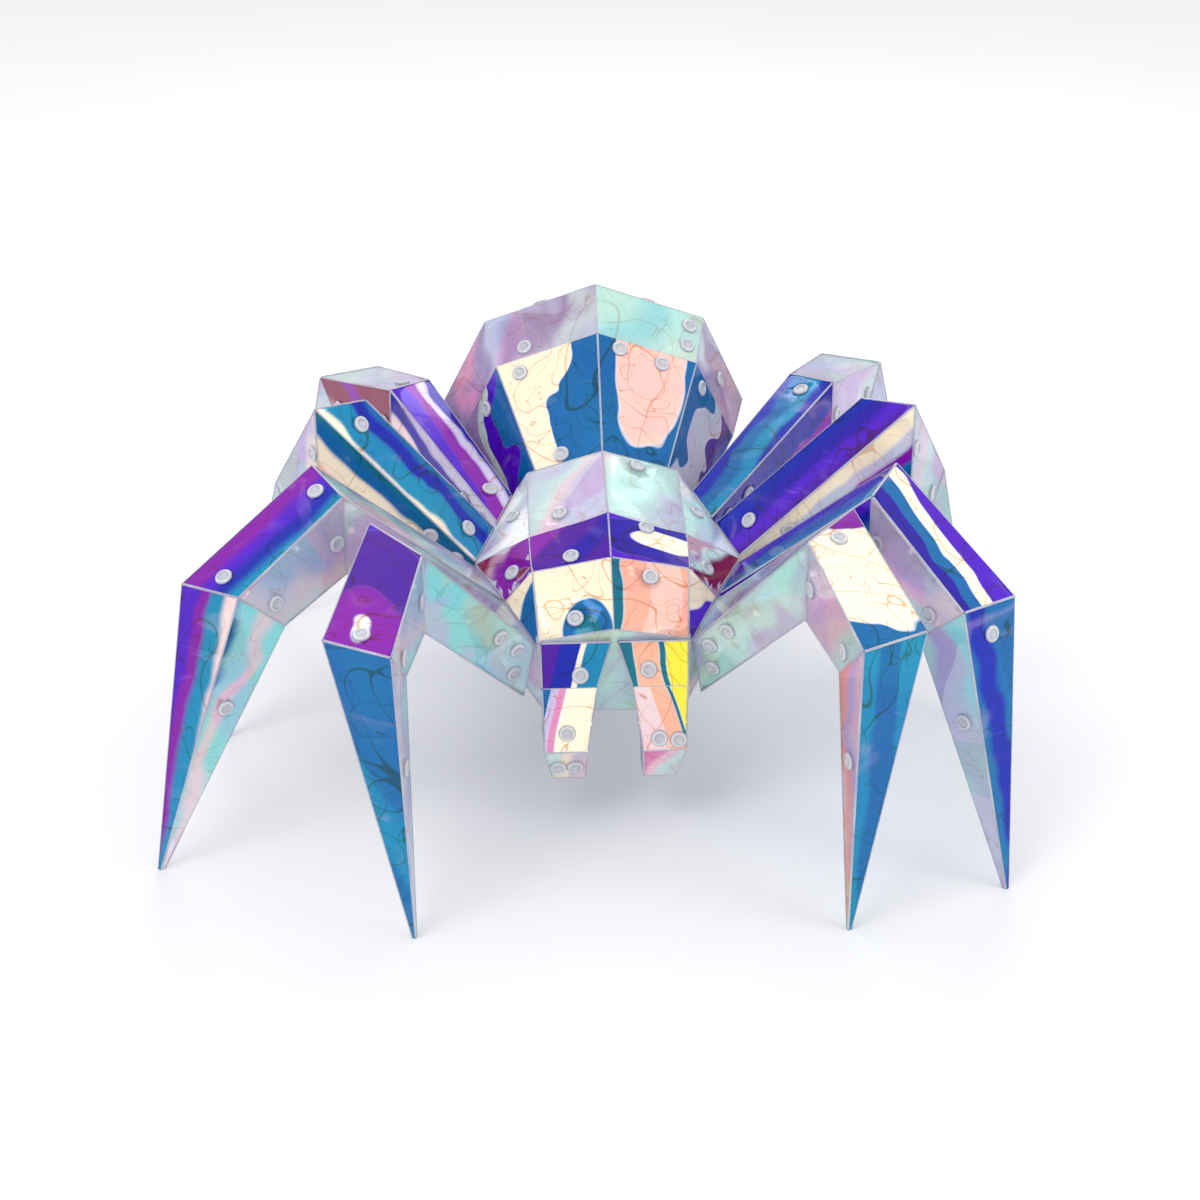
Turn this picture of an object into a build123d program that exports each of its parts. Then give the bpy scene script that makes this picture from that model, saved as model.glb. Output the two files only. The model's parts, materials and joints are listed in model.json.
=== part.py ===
"""Faceted light-up spider decoration, folded from thin clear sheet and held with snap rivets.

Frame: origin on the floor below the middle of the stance, +Z up, the head faces -Y, millimetres.
"""

from build123d import *
from math import cos, radians, sin, tan
import os

os.makedirs("parts", exist_ok=True)

# ---- driving dimensions -------------------------------------------------------------------
WALL = 0.8  # folded sheet
GAP = 0.3  # between separate pieces that lie side by side

# Thorax: cross-sections from the neck to the face. Each row gives the height of the ridge and
# the half-width and height of the top strip's edge, the rim and the bottom edge.
THORAX_Y = (None, -10, -48, -87)  # the first section lies on the neck plane
THORAX_RIDGE = (219, 202, 185, 149)
THORAX_STRIP = ((54, 200), (55, 184), (54, 175), (51, 141))
THORAX_RIM = ((61, 187), (93, 164), (73, 153), (52, 137))
THORAX_BOTTOM = ((52, 108), (84, 108), (66, 96), (48, 88))

# Abdomen: octagonal rings as (middle y, middle z, radius to a corner, backward lean in degrees).
ABDOMEN_RINGS = (
    (85, 153, 67, 20),
    (166, 184, 105, 20),
    (205, 199, 116, 20),
    (258, 185, 90, 8),
    (308, 182, 50, 0),
)
NECK_GAP = 1.0  # between the thorax and the neck ring

# Fangs: each row is (height, inner x, outer x, front y, back y), from the root to the tip.
FANG_SECTIONS = (
    (142, 2, 50.5, -91.6, -89),
    (112, 12, 50, -101, -89),
    (86, 16, 49, -105, -89),
    (66, 19, 49, -108, -79),
    (41, 20, 43, -99, -77),
)

# Leg stance: knee and ankle are the middles of the two upper creases, and the toe is on the
# floor. x is given outwards, so it is positive on both sides.
STANCE = {
    "left_leg_1": ((144, -133, 241), (167, -233, 213), (138, -230)),
    "left_leg_2": ((189, -80, 260), (265, -135, 208), (311, -137)),
    "left_leg_3": ((183, 8, 279), (220, 74, 203), (280, 49)),
    "left_leg_4": ((139, 164, 232), (188, 256, 208), (249, 244)),
    "right_leg_1": ((138, -135, 245), (167, -232, 209), (146, -235)),
    "right_leg_2": ((180, -85, 255), (242, -151, 193), (258, -191)),
    "right_leg_3": ((195, 4, 275), (233, 72, 203), (282, 40)),
    "right_leg_4": ((163, 162, 232), (207, 258, 211), (272, 236)),
}
STANCE_CENTRE = Vector(-14.89, 33.38, 0)  # of the whole, seen from above; the origin at last
# Creases by leg pair: (width, heading in plan from the rear to the front edge, fall in degrees).
KNEE_CREASE = {1: (52, -132, 7), 2: (43, -121, 11), 3: (43, -38, -6), 4: (41, -45, -5)}
ANKLE_CREASE = {1: (47, -157, 5), 2: (46, -147, -1), 3: (45, -50, 5), 4: (48, -18, 3)}
KNEE_DEPTH = 56
ANKLE_DEPTH = 46
ANKLE_SLOPE = 42  # of the ankle section, from the level, in degrees
TOE_SIZE = 3
SPIKE_HOLLOW = 0.88  # part of the spike that is hollow
ROOT_DEPTH = 50
ROOT_TRIM = {1: (0.07, 0.05), 2: (0.10, 0.10), 3: (0.08, 0.06), 4: (0.22, 0.06)}  # rear, front
ROOT_LEAN = 5  # opens the root away from the thorax, so that the leg can sink a little
ROOT_GAP = 0.8

# Snap rivets
RIVET_HEAD_R = 6.0
RIVET_HEAD_H = 1.7
RIVET_DISH_R = 3.2
RIVET_DISH_DEPTH = 0.9
RIVET_SHANK_R = 2.4
RIVET_HOLE_R = 2.5
RIVET_CAP_R = 4.5
RIVET_CAP_H = 1.2
RIVET_SEAT = 0.3  # under the head and over the cap

# Light string
WIRE_R = 0.6
BEAD_R = 2.2
BEND_SHARE = 0.3
WIRE_PORT_R = 5.0  # hole at each hip

# Battery box for three AA cells, below the belly panel's middle
CELL_R = 7.2
CELL_LENGTH = 50.2
CELL_PITCH = 14.8
BOX_X = 26.0  # half-width
BOX_Y = (3.0, 92.0)
BOX_Z = (103.0, 127.0)
BOX_WALL = 1.6
BAY_Y = (25.2, 90.4)
LID_THICKNESS = 1.6
LID_X = 22.5  # half-width
LID_Y = (25.5, 89.0)
HINGE_R = 1.1
HINGE_RUNNING_GAP = 0.1
PIN_REACH = 1.8  # of the hinge pins past the lid
SWITCH_SLOT = (9.0, 4.4)
SWITCH_KNOB = (4.0, 3.6)
SWITCH_Y = 13.0


# ---- geometry helpers ---------------------------------------------------------------------
def between(a, b, t):
    """Point or vector a fraction t of the way from a to b."""
    return a + (b - a) * t


def blend_outline(first, last, t):
    """Outline a fraction t of the way between two outlines with the same corners."""
    return [between(a, b, t) for a, b in zip(first, last)]


def plane_of(points):
    """Plane of a planar outline, with x along its first side."""
    side = points[1] - points[0]
    return Plane(origin=points[0], x_dir=side, z_dir=side.cross(points[2] - points[1]))


def inset(points, distance):
    """The outline with each of its sides moved inwards."""
    plane = plane_of(points)
    flat = [plane.to_local_coords(p) for p in points]
    area = sum(a.X * b.Y - b.X * a.Y for a, b in zip(flat, flat[1:] + flat[:1]))
    turn = 1 if area > 0 else -1
    corners = []
    for before, corner, after in zip(flat[-1:] + flat[:-1], flat, flat[1:] + flat[:1]):
        side_in = (corner - before).normalized()
        side_out = (after - corner).normalized()
        normal_in = Vector(-side_in.Y, side_in.X) * turn
        normal_out = Vector(-side_out.Y, side_out.X) * turn
        middle = normal_in + normal_out
        corners.append(corner + middle * (2 * distance / middle.dot(middle)))
    return [plane.from_local_coords(p) for p in corners]


def outline_face(points):
    """Planar face with the given corners."""
    plane = plane_of(points)
    with BuildSketch(plane) as sketch:
        with BuildLine():
            Polyline([plane.to_local_coords(p) for p in points], close=True)
        make_face()
    return sketch.sketch


def channel_face(outer, inner):
    """Planar face of an open folded sheet: its outer line, then its inner line back."""
    plane = plane_of([outer[0], outer[1], inner[1]])
    with BuildSketch(plane) as sketch:
        with BuildLine():
            Polyline([plane.to_local_coords(p) for p in outer + inner[::-1]], close=True)
        make_face()
    return sketch.sketch


def panel_spot(edge, next_edge, u, v, middle):
    """Location on a panel's outside: u along its edge, v towards the next, z pointing out."""
    near = between(*edge, u)
    far = between(*next_edge, u)
    spot = between(near, far, v)
    along = between(edge[1] - edge[0], next_edge[1] - next_edge[0], v)
    normal = along.cross(far - near)
    if normal.dot(spot - middle) < 0:
        normal = normal * -1
    return Plane(origin=spot, x_dir=along, z_dir=normal).location


def mean(points):
    """Middle of a set of points."""
    return sum(points, Vector()) * (1 / len(points))


# ---- thorax -------------------------------------------------------------------------------
neck_y, neck_z, neck_radius, neck_lean = ABDOMEN_RINGS[0]


def neck_plane_y(z):
    """y of the plane that the thorax ends on, beside the neck ring, at a height."""
    return neck_y - (z - neck_z) * tan(radians(neck_lean)) - NECK_GAP


def thorax_point(index, x, z):
    """Corner of a thorax section."""
    y = neck_plane_y(z) if THORAX_Y[index] is None else THORAX_Y[index]
    return Vector(x, y, z)


def thorax_section(index):
    """Outer corners of a thorax section, from the left bottom over the ridge to the right."""
    right = [THORAX_STRIP[index], THORAX_RIM[index], THORAX_BOTTOM[index]]
    left_side = [thorax_point(index, -x, z) for x, z in reversed(right)]
    ridge = thorax_point(index, 0, THORAX_RIDGE[index])
    return left_side + [ridge] + [thorax_point(index, x, z) for x, z in right]


thorax_outer = [thorax_section(i) for i in range(len(THORAX_Y))]
thorax_inner = [inset(section, WALL) for section in thorax_outer]
thorax_middle = mean([p for section in thorax_outer for p in section])


def thorax_edge(section, corner):
    """Side of a thorax section that starts at a corner of the outline."""
    return thorax_outer[section][corner], thorax_outer[section][corner + 1]


# ---- legs ---------------------------------------------------------------------------------
def side_of(leg):
    """-1 for a left leg, 1 for a right leg."""
    return -1 if leg.startswith("left") else 1


def root_outline(leg):
    """Rim edge, root outline and outward direction of a leg at the thorax."""
    side = side_of(leg)
    pair = int(leg[-1])
    rim = [thorax_point(i, side * x, z) for i, (x, z) in enumerate(THORAX_RIM)]
    low = [thorax_point(i, side * x, z) for i, (x, z) in enumerate(THORAX_BOTTOM)]
    half = [between(line[0], line[1], 0.5) for line in (rim, low)]
    ends = {
        1: ((rim[2], low[2]), (rim[3], low[3])),
        2: ((rim[1], low[1]), (rim[2], low[2])),
        3: ((half[0], half[1]), (rim[1], low[1])),
        4: ((rim[0], low[0]), (half[0], half[1])),
    }
    (rear, rear_low), (front, front_low) = ends[pair]
    edge = (front - rear).normalized()
    down = (rear_low - rear).normalized() + (front_low - front).normalized()
    down = (down - edge * down.dot(edge)).normalized()
    out = edge.cross(down).normalized()
    if out.X * side < 0:
        out = out * -1
    rear_trim, front_trim = ROOT_TRIM[pair]
    top = [between(rear, front, t) + out * ROOT_GAP for t in (rear_trim, 1 - front_trim)]
    lean = radians(ROOT_LEAN)
    drop = (down * cos(lean) + out * sin(lean)) * ROOT_DEPTH
    return (rear, front), [top[0], top[1], top[1] + drop, top[0] + drop], out


def crease(width, heading, fall, side):
    """Vector from the rear to the front end of a crease on a leg."""
    level = width * cos(radians(fall))
    return Vector(
        side * level * cos(radians(heading)),
        level * sin(radians(heading)),
        -width * sin(radians(fall)),
    )


def leg_outlines(leg):
    """Outlines at the root, knee, ankle and toe: rear top, front top, front and rear bottom."""
    side = side_of(leg)
    pair = int(leg[-1])
    knee, ankle, toe = (Vector(side * x, *rest) for x, *rest in STANCE[leg])
    knee_line = crease(*KNEE_CREASE[pair], side)
    ankle_line = crease(*ANKLE_CREASE[pair], side)
    inwards = Vector(knee.X - ankle.X, knee.Y - ankle.Y).normalized()
    slope = radians(ANKLE_SLOPE)
    ankle_drop = (inwards * cos(slope) - Vector(0, 0, 1) * sin(slope)) * ANKLE_DEPTH
    toe_line = Vector(ankle_line.X, ankle_line.Y).normalized() * TOE_SIZE
    rows = (
        (knee, knee_line, Vector(0, 0, -KNEE_DEPTH)),
        (ankle, ankle_line, ankle_drop),
        (toe - inwards * (TOE_SIZE / 2), toe_line, inwards * TOE_SIZE),
    )
    outlines = [root_outline(leg)[1]]
    for middle, line, drop in rows:
        rear = middle - line * 0.5
        front = middle + line * 0.5
        outlines.append([rear, front, front + drop, rear + drop])
    return outlines


# Rivets on a leg: part of the leg, side of the section (0 top, 1 front, 2 bottom, 3 rear),
# place across the panel and place along it.
LEG_RIVETS = (
    (0, 1, 0.30, 0.14),
    (0, 1, 0.72, 0.14),
    (0, 1, 0.30, 0.30),
    (0, 3, 0.50, 0.34),
    (0, 3, 0.50, 0.88),
    (1, 1, 0.50, 0.10),
    (1, 1, 0.55, 0.86),
    (1, 3, 0.50, 0.10),
    (1, 3, 0.50, 0.88),
    (2, 1, 0.50, 0.36),
    (2, 3, 0.50, 0.08),
)
TOP_RIVETS = {
    "left_leg_1": ((1, 0.88),),
    "left_leg_2": ((1, 0.10), (1, 0.88)),
    "left_leg_3": ((0, 0.12), (0, 0.86)),
    "left_leg_4": ((0, 0.15), (1, 0.12)),
    "right_leg_1": ((1, 0.12),),
    "right_leg_2": ((2, 0.10),),
    "right_leg_3": ((0, 0.14),),
    "right_leg_4": ((0, 0.90),),
}


def leg_rivet_spots(leg):
    """Rivet locations of a leg, as one list for each of its three parts."""
    outlines = leg_outlines(leg)
    on_top = [(part, 0, 0.5, along) for part, along in TOP_RIVETS[leg]]
    spots = [[], [], []]
    for part, side, across, along in list(LEG_RIVETS) + on_top:
        first, last = outlines[part], outlines[part + 1]
        edge = (first[side], first[(side + 1) % 4])
        next_edge = (last[side], last[(side + 1) % 4])
        centre = mean(blend_outline(first, last, along))
        spots[part].append(panel_spot(edge, next_edge, across, along, centre))
    return spots


# Light string in a leg: part of the leg, place along it, across it and down it.
LEG_STRING = (
    (0, 0.10, 0.50, 0.45),
    (0, 0.30, 0.34, 0.60),
    (0, 0.52, 0.64, 0.42),
    (0, 0.76, 0.38, 0.56),
    (0, 0.96, 0.56, 0.40),
    (1, 0.22, 0.40, 0.52),
    (1, 0.48, 0.62, 0.44),
    (1, 0.74, 0.40, 0.58),
    (1, 0.96, 0.55, 0.42),
    (2, 0.16, 0.42, 0.55),
    (2, 0.34, 0.60, 0.45),
    (2, 0.52, 0.45, 0.55),
)


def leg_string_points(leg):
    """Route of the light string through a leg."""
    outlines = leg_outlines(leg)
    points = []
    for part, along, across, down in LEG_STRING:
        a, b, c, d = blend_outline(outlines[part], outlines[part + 1], along)
        points.append(between(between(a, b, across), between(d, c, across), down))
    return points


# ---- abdomen ------------------------------------------------------------------------------
def ring_outline(index, scale=1.0):
    """Corners of an abdomen ring, from the top clockwise as seen from behind."""
    y, z, radius, lean = ABDOMEN_RINGS[index]
    up = Vector(0, -sin(radians(lean)), cos(radians(lean)))
    turns = [radians(45 * k) for k in range(8)]
    return [Vector(radius * scale * sin(t), y, z) + up * (radius * scale * cos(t)) for t in turns]


rings_outer = [ring_outline(i) for i in range(len(ABDOMEN_RINGS))]
rings_inner = [inset(ring, WALL) for ring in rings_outer]
UPPER_CORNERS = (6, 7, 0, 1, 2)
LOWER_CORNERS = (2, 3, 4, 5, 6)


def half_ring(ring, corners):
    """Corners of half a ring."""
    return [ring[k] for k in corners]


# Rivets on the abdomen: ring, corner, place across the panel, place along it.
ABDOMEN_UPPER_RIVETS = (
    (0, 7, 0.42, 0.10),
    (0, 7, 0.20, 0.88),
    (0, 6, 0.62, 0.86),
    (0, 0, 0.22, 0.92),
    (0, 0, 0.66, 0.90),
    (0, 1, 0.20, 0.90),
    (1, 0, 0.88, 0.30),
    (1, 0, 0.88, 0.72),
    (1, 7, 0.30, 0.20),
    (1, 1, 0.50, 0.50),
    (2, 0, 0.50, 0.12),
    (2, 1, 0.50, 0.88),
    (2, 7, 0.50, 0.12),
    (2, 6, 0.50, 0.88),
    (3, 0, 0.50, 0.50),
    (3, 7, 0.50, 0.50),
)
ABDOMEN_LOWER_RIVETS = tuple((ring, k, 0.50, 0.50) for ring in (0, 2) for k in (2, 3, 4, 5))


def abdomen_spots(rows):
    """Rivet locations on the abdomen."""
    spots = []
    for ring, corner, across, along in rows:
        first, last = rings_outer[ring], rings_outer[ring + 1]
        edge = (first[corner], first[(corner + 1) % 8])
        next_edge = (last[corner], last[(corner + 1) % 8])
        centre = mean(blend_outline(first, last, along))
        spots.append(panel_spot(edge, next_edge, across, along, centre))
    return spots


# Rivets on the thorax: section, corner of its outline, place across the panel, along it.
THORAX_RIVETS = (
    (0, 2, 0.40, 0.80),
    (0, 3, 0.45, 0.12),
    (1, 2, 0.50, 0.80),
    (1, 3, 0.48, 0.14),
    (2, 2, 0.50, 0.76),
    (2, 3, 0.50, 0.20),
    (0, 1, 0.55, 0.55),
    (0, 4, 0.45, 0.55),
    (1, 1, 0.50, 0.62),
    (1, 4, 0.50, 0.62),
)
thorax_spots = [
    panel_spot(thorax_edge(s, k), thorax_edge(s + 1, k), u, v, thorax_middle)
    for s, k, u, v in THORAX_RIVETS
]


# ---- fangs --------------------------------------------------------------------------------
def fang_outlines(side):
    """Outlines of a fang from its root to its tip: inner front, outer front, outer, inner back."""
    outlines = []
    for z, inner, outer, front, back in FANG_SECTIONS:
        corners = ((inner, front), (outer, front), (outer, back), (inner, back))
        outlines.append([Vector(side * x, y, z) for x, y in corners])
    return outlines


FANG_RIVETS = {-1: ((0, 0.35, 0.72), (2, 0.50, 0.30), (3, 0.30, 0.55), (3, 0.75, 0.55)),
               1: ((0, 0.35, 0.62), (2, 0.40, 0.55), (2, 0.82, 0.62))}


def fang_spots(side):
    """Rivet locations on the front of a fang."""
    outlines = fang_outlines(side)
    spots = []
    for part, across, along in FANG_RIVETS[side]:
        first, last = outlines[part], outlines[part + 1]
        centre = mean(blend_outline(first, last, along))
        spots.append(panel_spot(first[:2], last[:2], across, along, centre))
    return spots


# ---- making the pieces --------------------------------------------------------------------
def finish(part, name):
    """Move a finished piece so that the stance is centred on the origin, label and write it."""
    moved = Location(-STANCE_CENTRE) * part
    moved.label = name
    export_step(moved, f"parts/{name}.step")


def make_tube(outlines, spots, closed_end=None):
    """Folded tube through the outlines, with a rivet hole at each spot."""
    with BuildPart() as tube:
        for first, last in zip(outlines, outlines[1:]):
            loft([outline_face(first), outline_face(last)], ruled=True)
        hollow = outlines if closed_end is None else outlines[:-1] + [
            blend_outline(outlines[-2], outlines[-1], closed_end)
        ]
        hollow = [inset(outline, WALL) for outline in hollow]
        for first, last in zip(hollow, hollow[1:]):
            faces = [outline_face(first), outline_face(last)]
            loft(faces, ruled=True, mode=Mode.SUBTRACT)
        with Locations(*spots):
            Cylinder(RIVET_HOLE_R, 6 * WALL, mode=Mode.SUBTRACT)
    return tube.part


def make_rivet():
    """Two-part snap rivet, head up, with the sheet's outer face at z = 0."""
    cap_z = -WALL - RIVET_SEAT
    top = RIVET_SEAT + RIVET_HEAD_H
    with BuildPart() as snap:
        with BuildSketch(Plane.XZ):
            with BuildLine():
                head = Line((RIVET_SHANK_R, RIVET_SEAT), (RIVET_HEAD_R, RIVET_SEAT))
                rim_top = (RIVET_DISH_R + 0.6, top)
                crown = (RIVET_HEAD_R - 0.45, RIVET_SEAT + 0.6 * RIVET_HEAD_H)
                ThreePointArc(head @ 1, crown, rim_top)
                dish = Line(rim_top, (RIVET_DISH_R - 0.5, top - RIVET_DISH_DEPTH))
                Polyline(
                    dish @ 1,
                    (0, top - RIVET_DISH_DEPTH),
                    (0, cap_z - RIVET_CAP_H),
                    (RIVET_CAP_R - 0.4, cap_z - RIVET_CAP_H),
                    (RIVET_CAP_R, cap_z),
                    (RIVET_SHANK_R, cap_z),
                    head @ 0,
                )
            make_face()
        revolve(axis=Axis.Z)
    return snap.part


rivet = make_rivet()


def make_rivets(spots):
    """A group of rivets, one at each location."""
    with BuildPart() as group:
        with Locations(*spots):
            add(rivet)
    return group.part


def fillet_radii(points):
    """Bend radii of a wire route; each bend uses up to BEND_SHARE of the shorter run beside it."""
    radii = []
    for before, corner, after in zip(points, points[1:], points[2:]):
        run_in, run_out = corner - before, after - corner
        shorter = min(run_in.length, run_out.length)
        radii.append(BEND_SHARE * shorter / tan(radians(run_in.get_angle(run_out)) / 2))
    return radii


def make_string(routes, beads):
    """Light string: a thin wire along each route, with a moulded lamp bead at each location."""
    with BuildPart() as string:
        for points in routes:
            with BuildLine() as route:
                FilletPolyline(*points, radius=fillet_radii(points))
            with BuildSketch(Plane(origin=route.line @ 0, z_dir=route.line % 0)) as section:
                Circle(WIRE_R)
            sweep(section.sketch, path=route.line)
        with Locations(*beads):
            Sphere(BEAD_R)
    return string.part


def run_middles(points, step):
    """Middle of every step-th run of a route, with z along the wire; lamp beads sit there."""
    runs = list(zip(points, points[1:]))
    return [Plane(origin=between(a, b, 0.5), z_dir=b - a).location for a, b in runs[1::step]]


# Thorax shell: the domed top and both side bands, open below, in front and behind
hip_ports = []
for leg_name in STANCE:
    rim_edge, root, outward = root_outline(leg_name)
    hip_ports.append(Plane(origin=mean(root), z_dir=outward).location)

with BuildPart() as thorax_shell:
    sections = [channel_face(o, i) for o, i in zip(thorax_outer, thorax_inner)]
    for first_face, last_face in zip(sections, sections[1:]):
        loft([first_face, last_face], ruled=True)
    with Locations(*thorax_spots):
        Cylinder(RIVET_HOLE_R, 6 * WALL, mode=Mode.SUBTRACT)
    with Locations(*hip_ports):
        Cylinder(WIRE_PORT_R, 20 * WALL, mode=Mode.SUBTRACT)
finish(thorax_shell.part, "thorax_shell")

# Belly panel: folded strip between the bottom edges, cut out round the battery box
with BuildPart() as thorax_belly_panel:
    strips = []
    for index, (half_width, height) in enumerate(THORAX_BOTTOM):
        reach = half_width - WALL - 2 * GAP
        upper = height + WALL
        corners = ((-reach, height), (reach, height), (reach, upper), (-reach, upper))
        strips.append(outline_face([thorax_point(index, x, z) for x, z in corners]))
    for first_face, last_face in zip(strips, strips[1:]):
        loft([first_face, last_face], ruled=True)
    with Locations(((0, sum(BOX_Y) / 2, sum(BOX_Z) / 2))):
        Box(2 * (BOX_X + GAP), BOX_Y[1] - BOX_Y[0] + 2 * GAP, 60, mode=Mode.SUBTRACT)
finish(thorax_belly_panel.part, "thorax_belly_panel")

# Face panel: closes the front of the thorax behind the fangs
with BuildPart() as thorax_face_panel:
    face_outline = [p - Vector(0, 0.1, 0) for p in thorax_outer[-1]]
    with BuildSketch(Plane.XZ.offset(-face_outline[0].Y)):
        with BuildLine():
            Polyline([(p.X, p.Z) for p in face_outline], close=True)
        make_face()
    extrude(amount=WALL)
finish(thorax_face_panel.part, "thorax_face_panel")

# Abdomen: an upper and a lower shell that meet along the side corners, and a tail panel
for piece, corners, rows in (
    ("abdomen_upper_shell", UPPER_CORNERS, ABDOMEN_UPPER_RIVETS),
    ("abdomen_lower_shell", LOWER_CORNERS, ABDOMEN_LOWER_RIVETS),
):
    with BuildPart() as abdomen_shell:
        sections = [
            channel_face(half_ring(o, corners), half_ring(i, corners))
            for o, i in zip(rings_outer, rings_inner)
        ]
        for first_face, last_face in zip(sections, sections[1:]):
            loft([first_face, last_face], ruled=True)
        with Locations(*abdomen_spots(rows)):
            Cylinder(RIVET_HOLE_R, 6 * WALL, mode=Mode.SUBTRACT)
    finish(abdomen_shell.part, piece)

with BuildPart() as abdomen_tail_panel:
    tail_y, tail_z, tail_radius, tail_lean = ABDOMEN_RINGS[-1]
    with BuildSketch(Plane.XZ.offset(-tail_y - 0.1)):
        with Locations((0, tail_z)):
            RegularPolygon(tail_radius, 8, rotation=0)
    extrude(amount=-WALL)
finish(abdomen_tail_panel.part, "abdomen_tail_panel")

# Fangs
for side, piece in ((-1, "fang_left"), (1, "fang_right")):
    finish(make_tube(fang_outlines(side), fang_spots(side), closed_end=0.9), piece)

# Rivets of the thorax, abdomen and fangs
body_spots = thorax_spots + abdomen_spots(ABDOMEN_UPPER_RIVETS + ABDOMEN_LOWER_RIVETS)
body_spots += [spot for side in (-1, 1) for spot in fang_spots(side)]
finish(make_rivets(body_spots), "body_rivets")

# Light string of the body: one run loops through the abdomen, the other through the thorax
ABDOMEN_TURNS = 3
POINTS_PER_TURN = 7


def abdomen_string_point(step, steps):
    """Point on the winding route inside the abdomen."""
    place = 0.25 + 3.1 * step / steps
    ring = int(place)
    y, z, radius, lean = (
        between(a, b, place - ring) for a, b in zip(ABDOMEN_RINGS[ring], ABDOMEN_RINGS[ring + 1])
    )
    turn = radians(360 / POINTS_PER_TURN * step)
    reach = radius * (0.66 if step % 2 else 0.8)
    return Vector(reach * sin(turn), y - reach * cos(turn) * sin(radians(lean)), z + reach * cos(turn))


string_exit = Vector(0, BOX_Y[0] + 24, BOX_Z[1] + 4)
winding = [
    abdomen_string_point(k, ABDOMEN_TURNS * POINTS_PER_TURN)
    for k in range(ABDOMEN_TURNS * POINTS_PER_TURN + 1)
]
abdomen_route = [string_exit, Vector(6, 50, 146), Vector(-5, 76, 162)] + winding
thorax_route = [
    string_exit - Vector(4, 2, 0),
    Vector(-16, 12, 150),
    Vector(-34, -12, 158),
    Vector(-20, -36, 146),
    Vector(6, -28, 164),
    Vector(30, -6, 158),
    Vector(36, -34, 140),
    Vector(16, -58, 138),
    Vector(-10, -66, 128),
    Vector(-30, -60, 118),
    Vector(-14, -44, 108),
]
body_beads = run_middles(abdomen_route, 2) + run_middles(thorax_route, 2)
finish(make_string([abdomen_route, thorax_route], body_beads), "body_light_string")

# Battery box, open below for the cells and slotted for the switch
box_middle_y = sum(BOX_Y) / 2
bay_middle_y = sum(BAY_Y) / 2
hinge_y = LID_Y[0] - HINGE_R - 0.6
hinge_z = BOX_Z[0] + HINGE_R + 0.5
with BuildPart() as battery_box:
    with BuildSketch(Plane.XY.offset(BOX_Z[0])):
        with Locations((0, box_middle_y)):
            RectangleRounded(2 * BOX_X, BOX_Y[1] - BOX_Y[0], 2.5)
    extrude(amount=BOX_Z[1] - BOX_Z[0])
    with BuildSketch(Plane.XY.offset(BOX_Z[0])):
        with Locations((0, bay_middle_y)):
            Rectangle(2 * (LID_X + GAP), BAY_Y[1] - BAY_Y[0])
    extrude(amount=BOX_Z[1] - BOX_Z[0] - BOX_WALL, mode=Mode.SUBTRACT)
    with Locations((0, hinge_y, hinge_z)):
        Box(2 * (LID_X + GAP), 2 * HINGE_R + 2.4, 2 * HINGE_R + 2.4, mode=Mode.SUBTRACT)
        Cylinder(
            HINGE_R + HINGE_RUNNING_GAP,
            2 * (LID_X + PIN_REACH + GAP),
            rotation=(0, 90, 0),
            mode=Mode.SUBTRACT,
        )
    switch_bay_y = (BOX_Y[0] + BOX_WALL, hinge_y - HINGE_R - 3)
    with Locations((0, sum(switch_bay_y) / 2, (BOX_Z[0] + BOX_Z[1]) / 2)):
        Box(
            2 * (BOX_X - BOX_WALL),
            switch_bay_y[1] - switch_bay_y[0],
            BOX_Z[1] - BOX_Z[0] - 2 * BOX_WALL,
            mode=Mode.SUBTRACT,
        )
    with Locations((0, SWITCH_Y, BOX_Z[0])):
        Box(*SWITCH_SLOT, 4 * BOX_WALL, mode=Mode.SUBTRACT)
finish(battery_box.part, "battery_box")

# Lid, with its hinge barrel along the front edge and two stub pins
with BuildPart() as battery_lid:
    with BuildSketch(Plane.XY.offset(BOX_Z[0])):
        with Locations((0, sum(LID_Y) / 2)):
            RectangleRounded(2 * LID_X, LID_Y[1] - LID_Y[0], 1.5)
        with Locations((0, LID_Y[1] - 5)):
            Rectangle(14, 2.2, mode=Mode.SUBTRACT)
    extrude(amount=LID_THICKNESS)
    with Locations((0, LID_Y[0] - 0.7, hinge_z - 0.4)):
        Box(2 * LID_X - 8, 3.0, 1.4)
    with Locations((0, hinge_y, hinge_z)):
        Cylinder(HINGE_R + 0.5, 2 * LID_X - 8, rotation=(0, 90, 0))
        Cylinder(HINGE_R, 2 * (LID_X + PIN_REACH), rotation=(0, 90, 0))
finish(battery_lid.part, "battery_lid")

# Three AA cells side by side, alternating, each with its positive button
cell_z = BOX_Z[0] + LID_THICKNESS + 0.5 + CELL_R
with BuildPart() as battery_cells:
    for column in (-1, 0, 1):
        direction = -1 if column == 0 else 1
        start = bay_middle_y - direction * CELL_LENGTH / 2
        with BuildSketch(Plane.XZ.offset(-start)):
            with Locations((column * CELL_PITCH, cell_z)):
                Circle(CELL_R)
        extrude(amount=-direction * (CELL_LENGTH - 1.2))
        with BuildSketch(Plane.XZ.offset(-start - direction * (CELL_LENGTH - 1.2))):
            with Locations((column * CELL_PITCH, cell_z)):
                Circle(2.7)
        extrude(amount=-direction * 1.2)
finish(battery_cells.part, "battery_cells")

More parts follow.
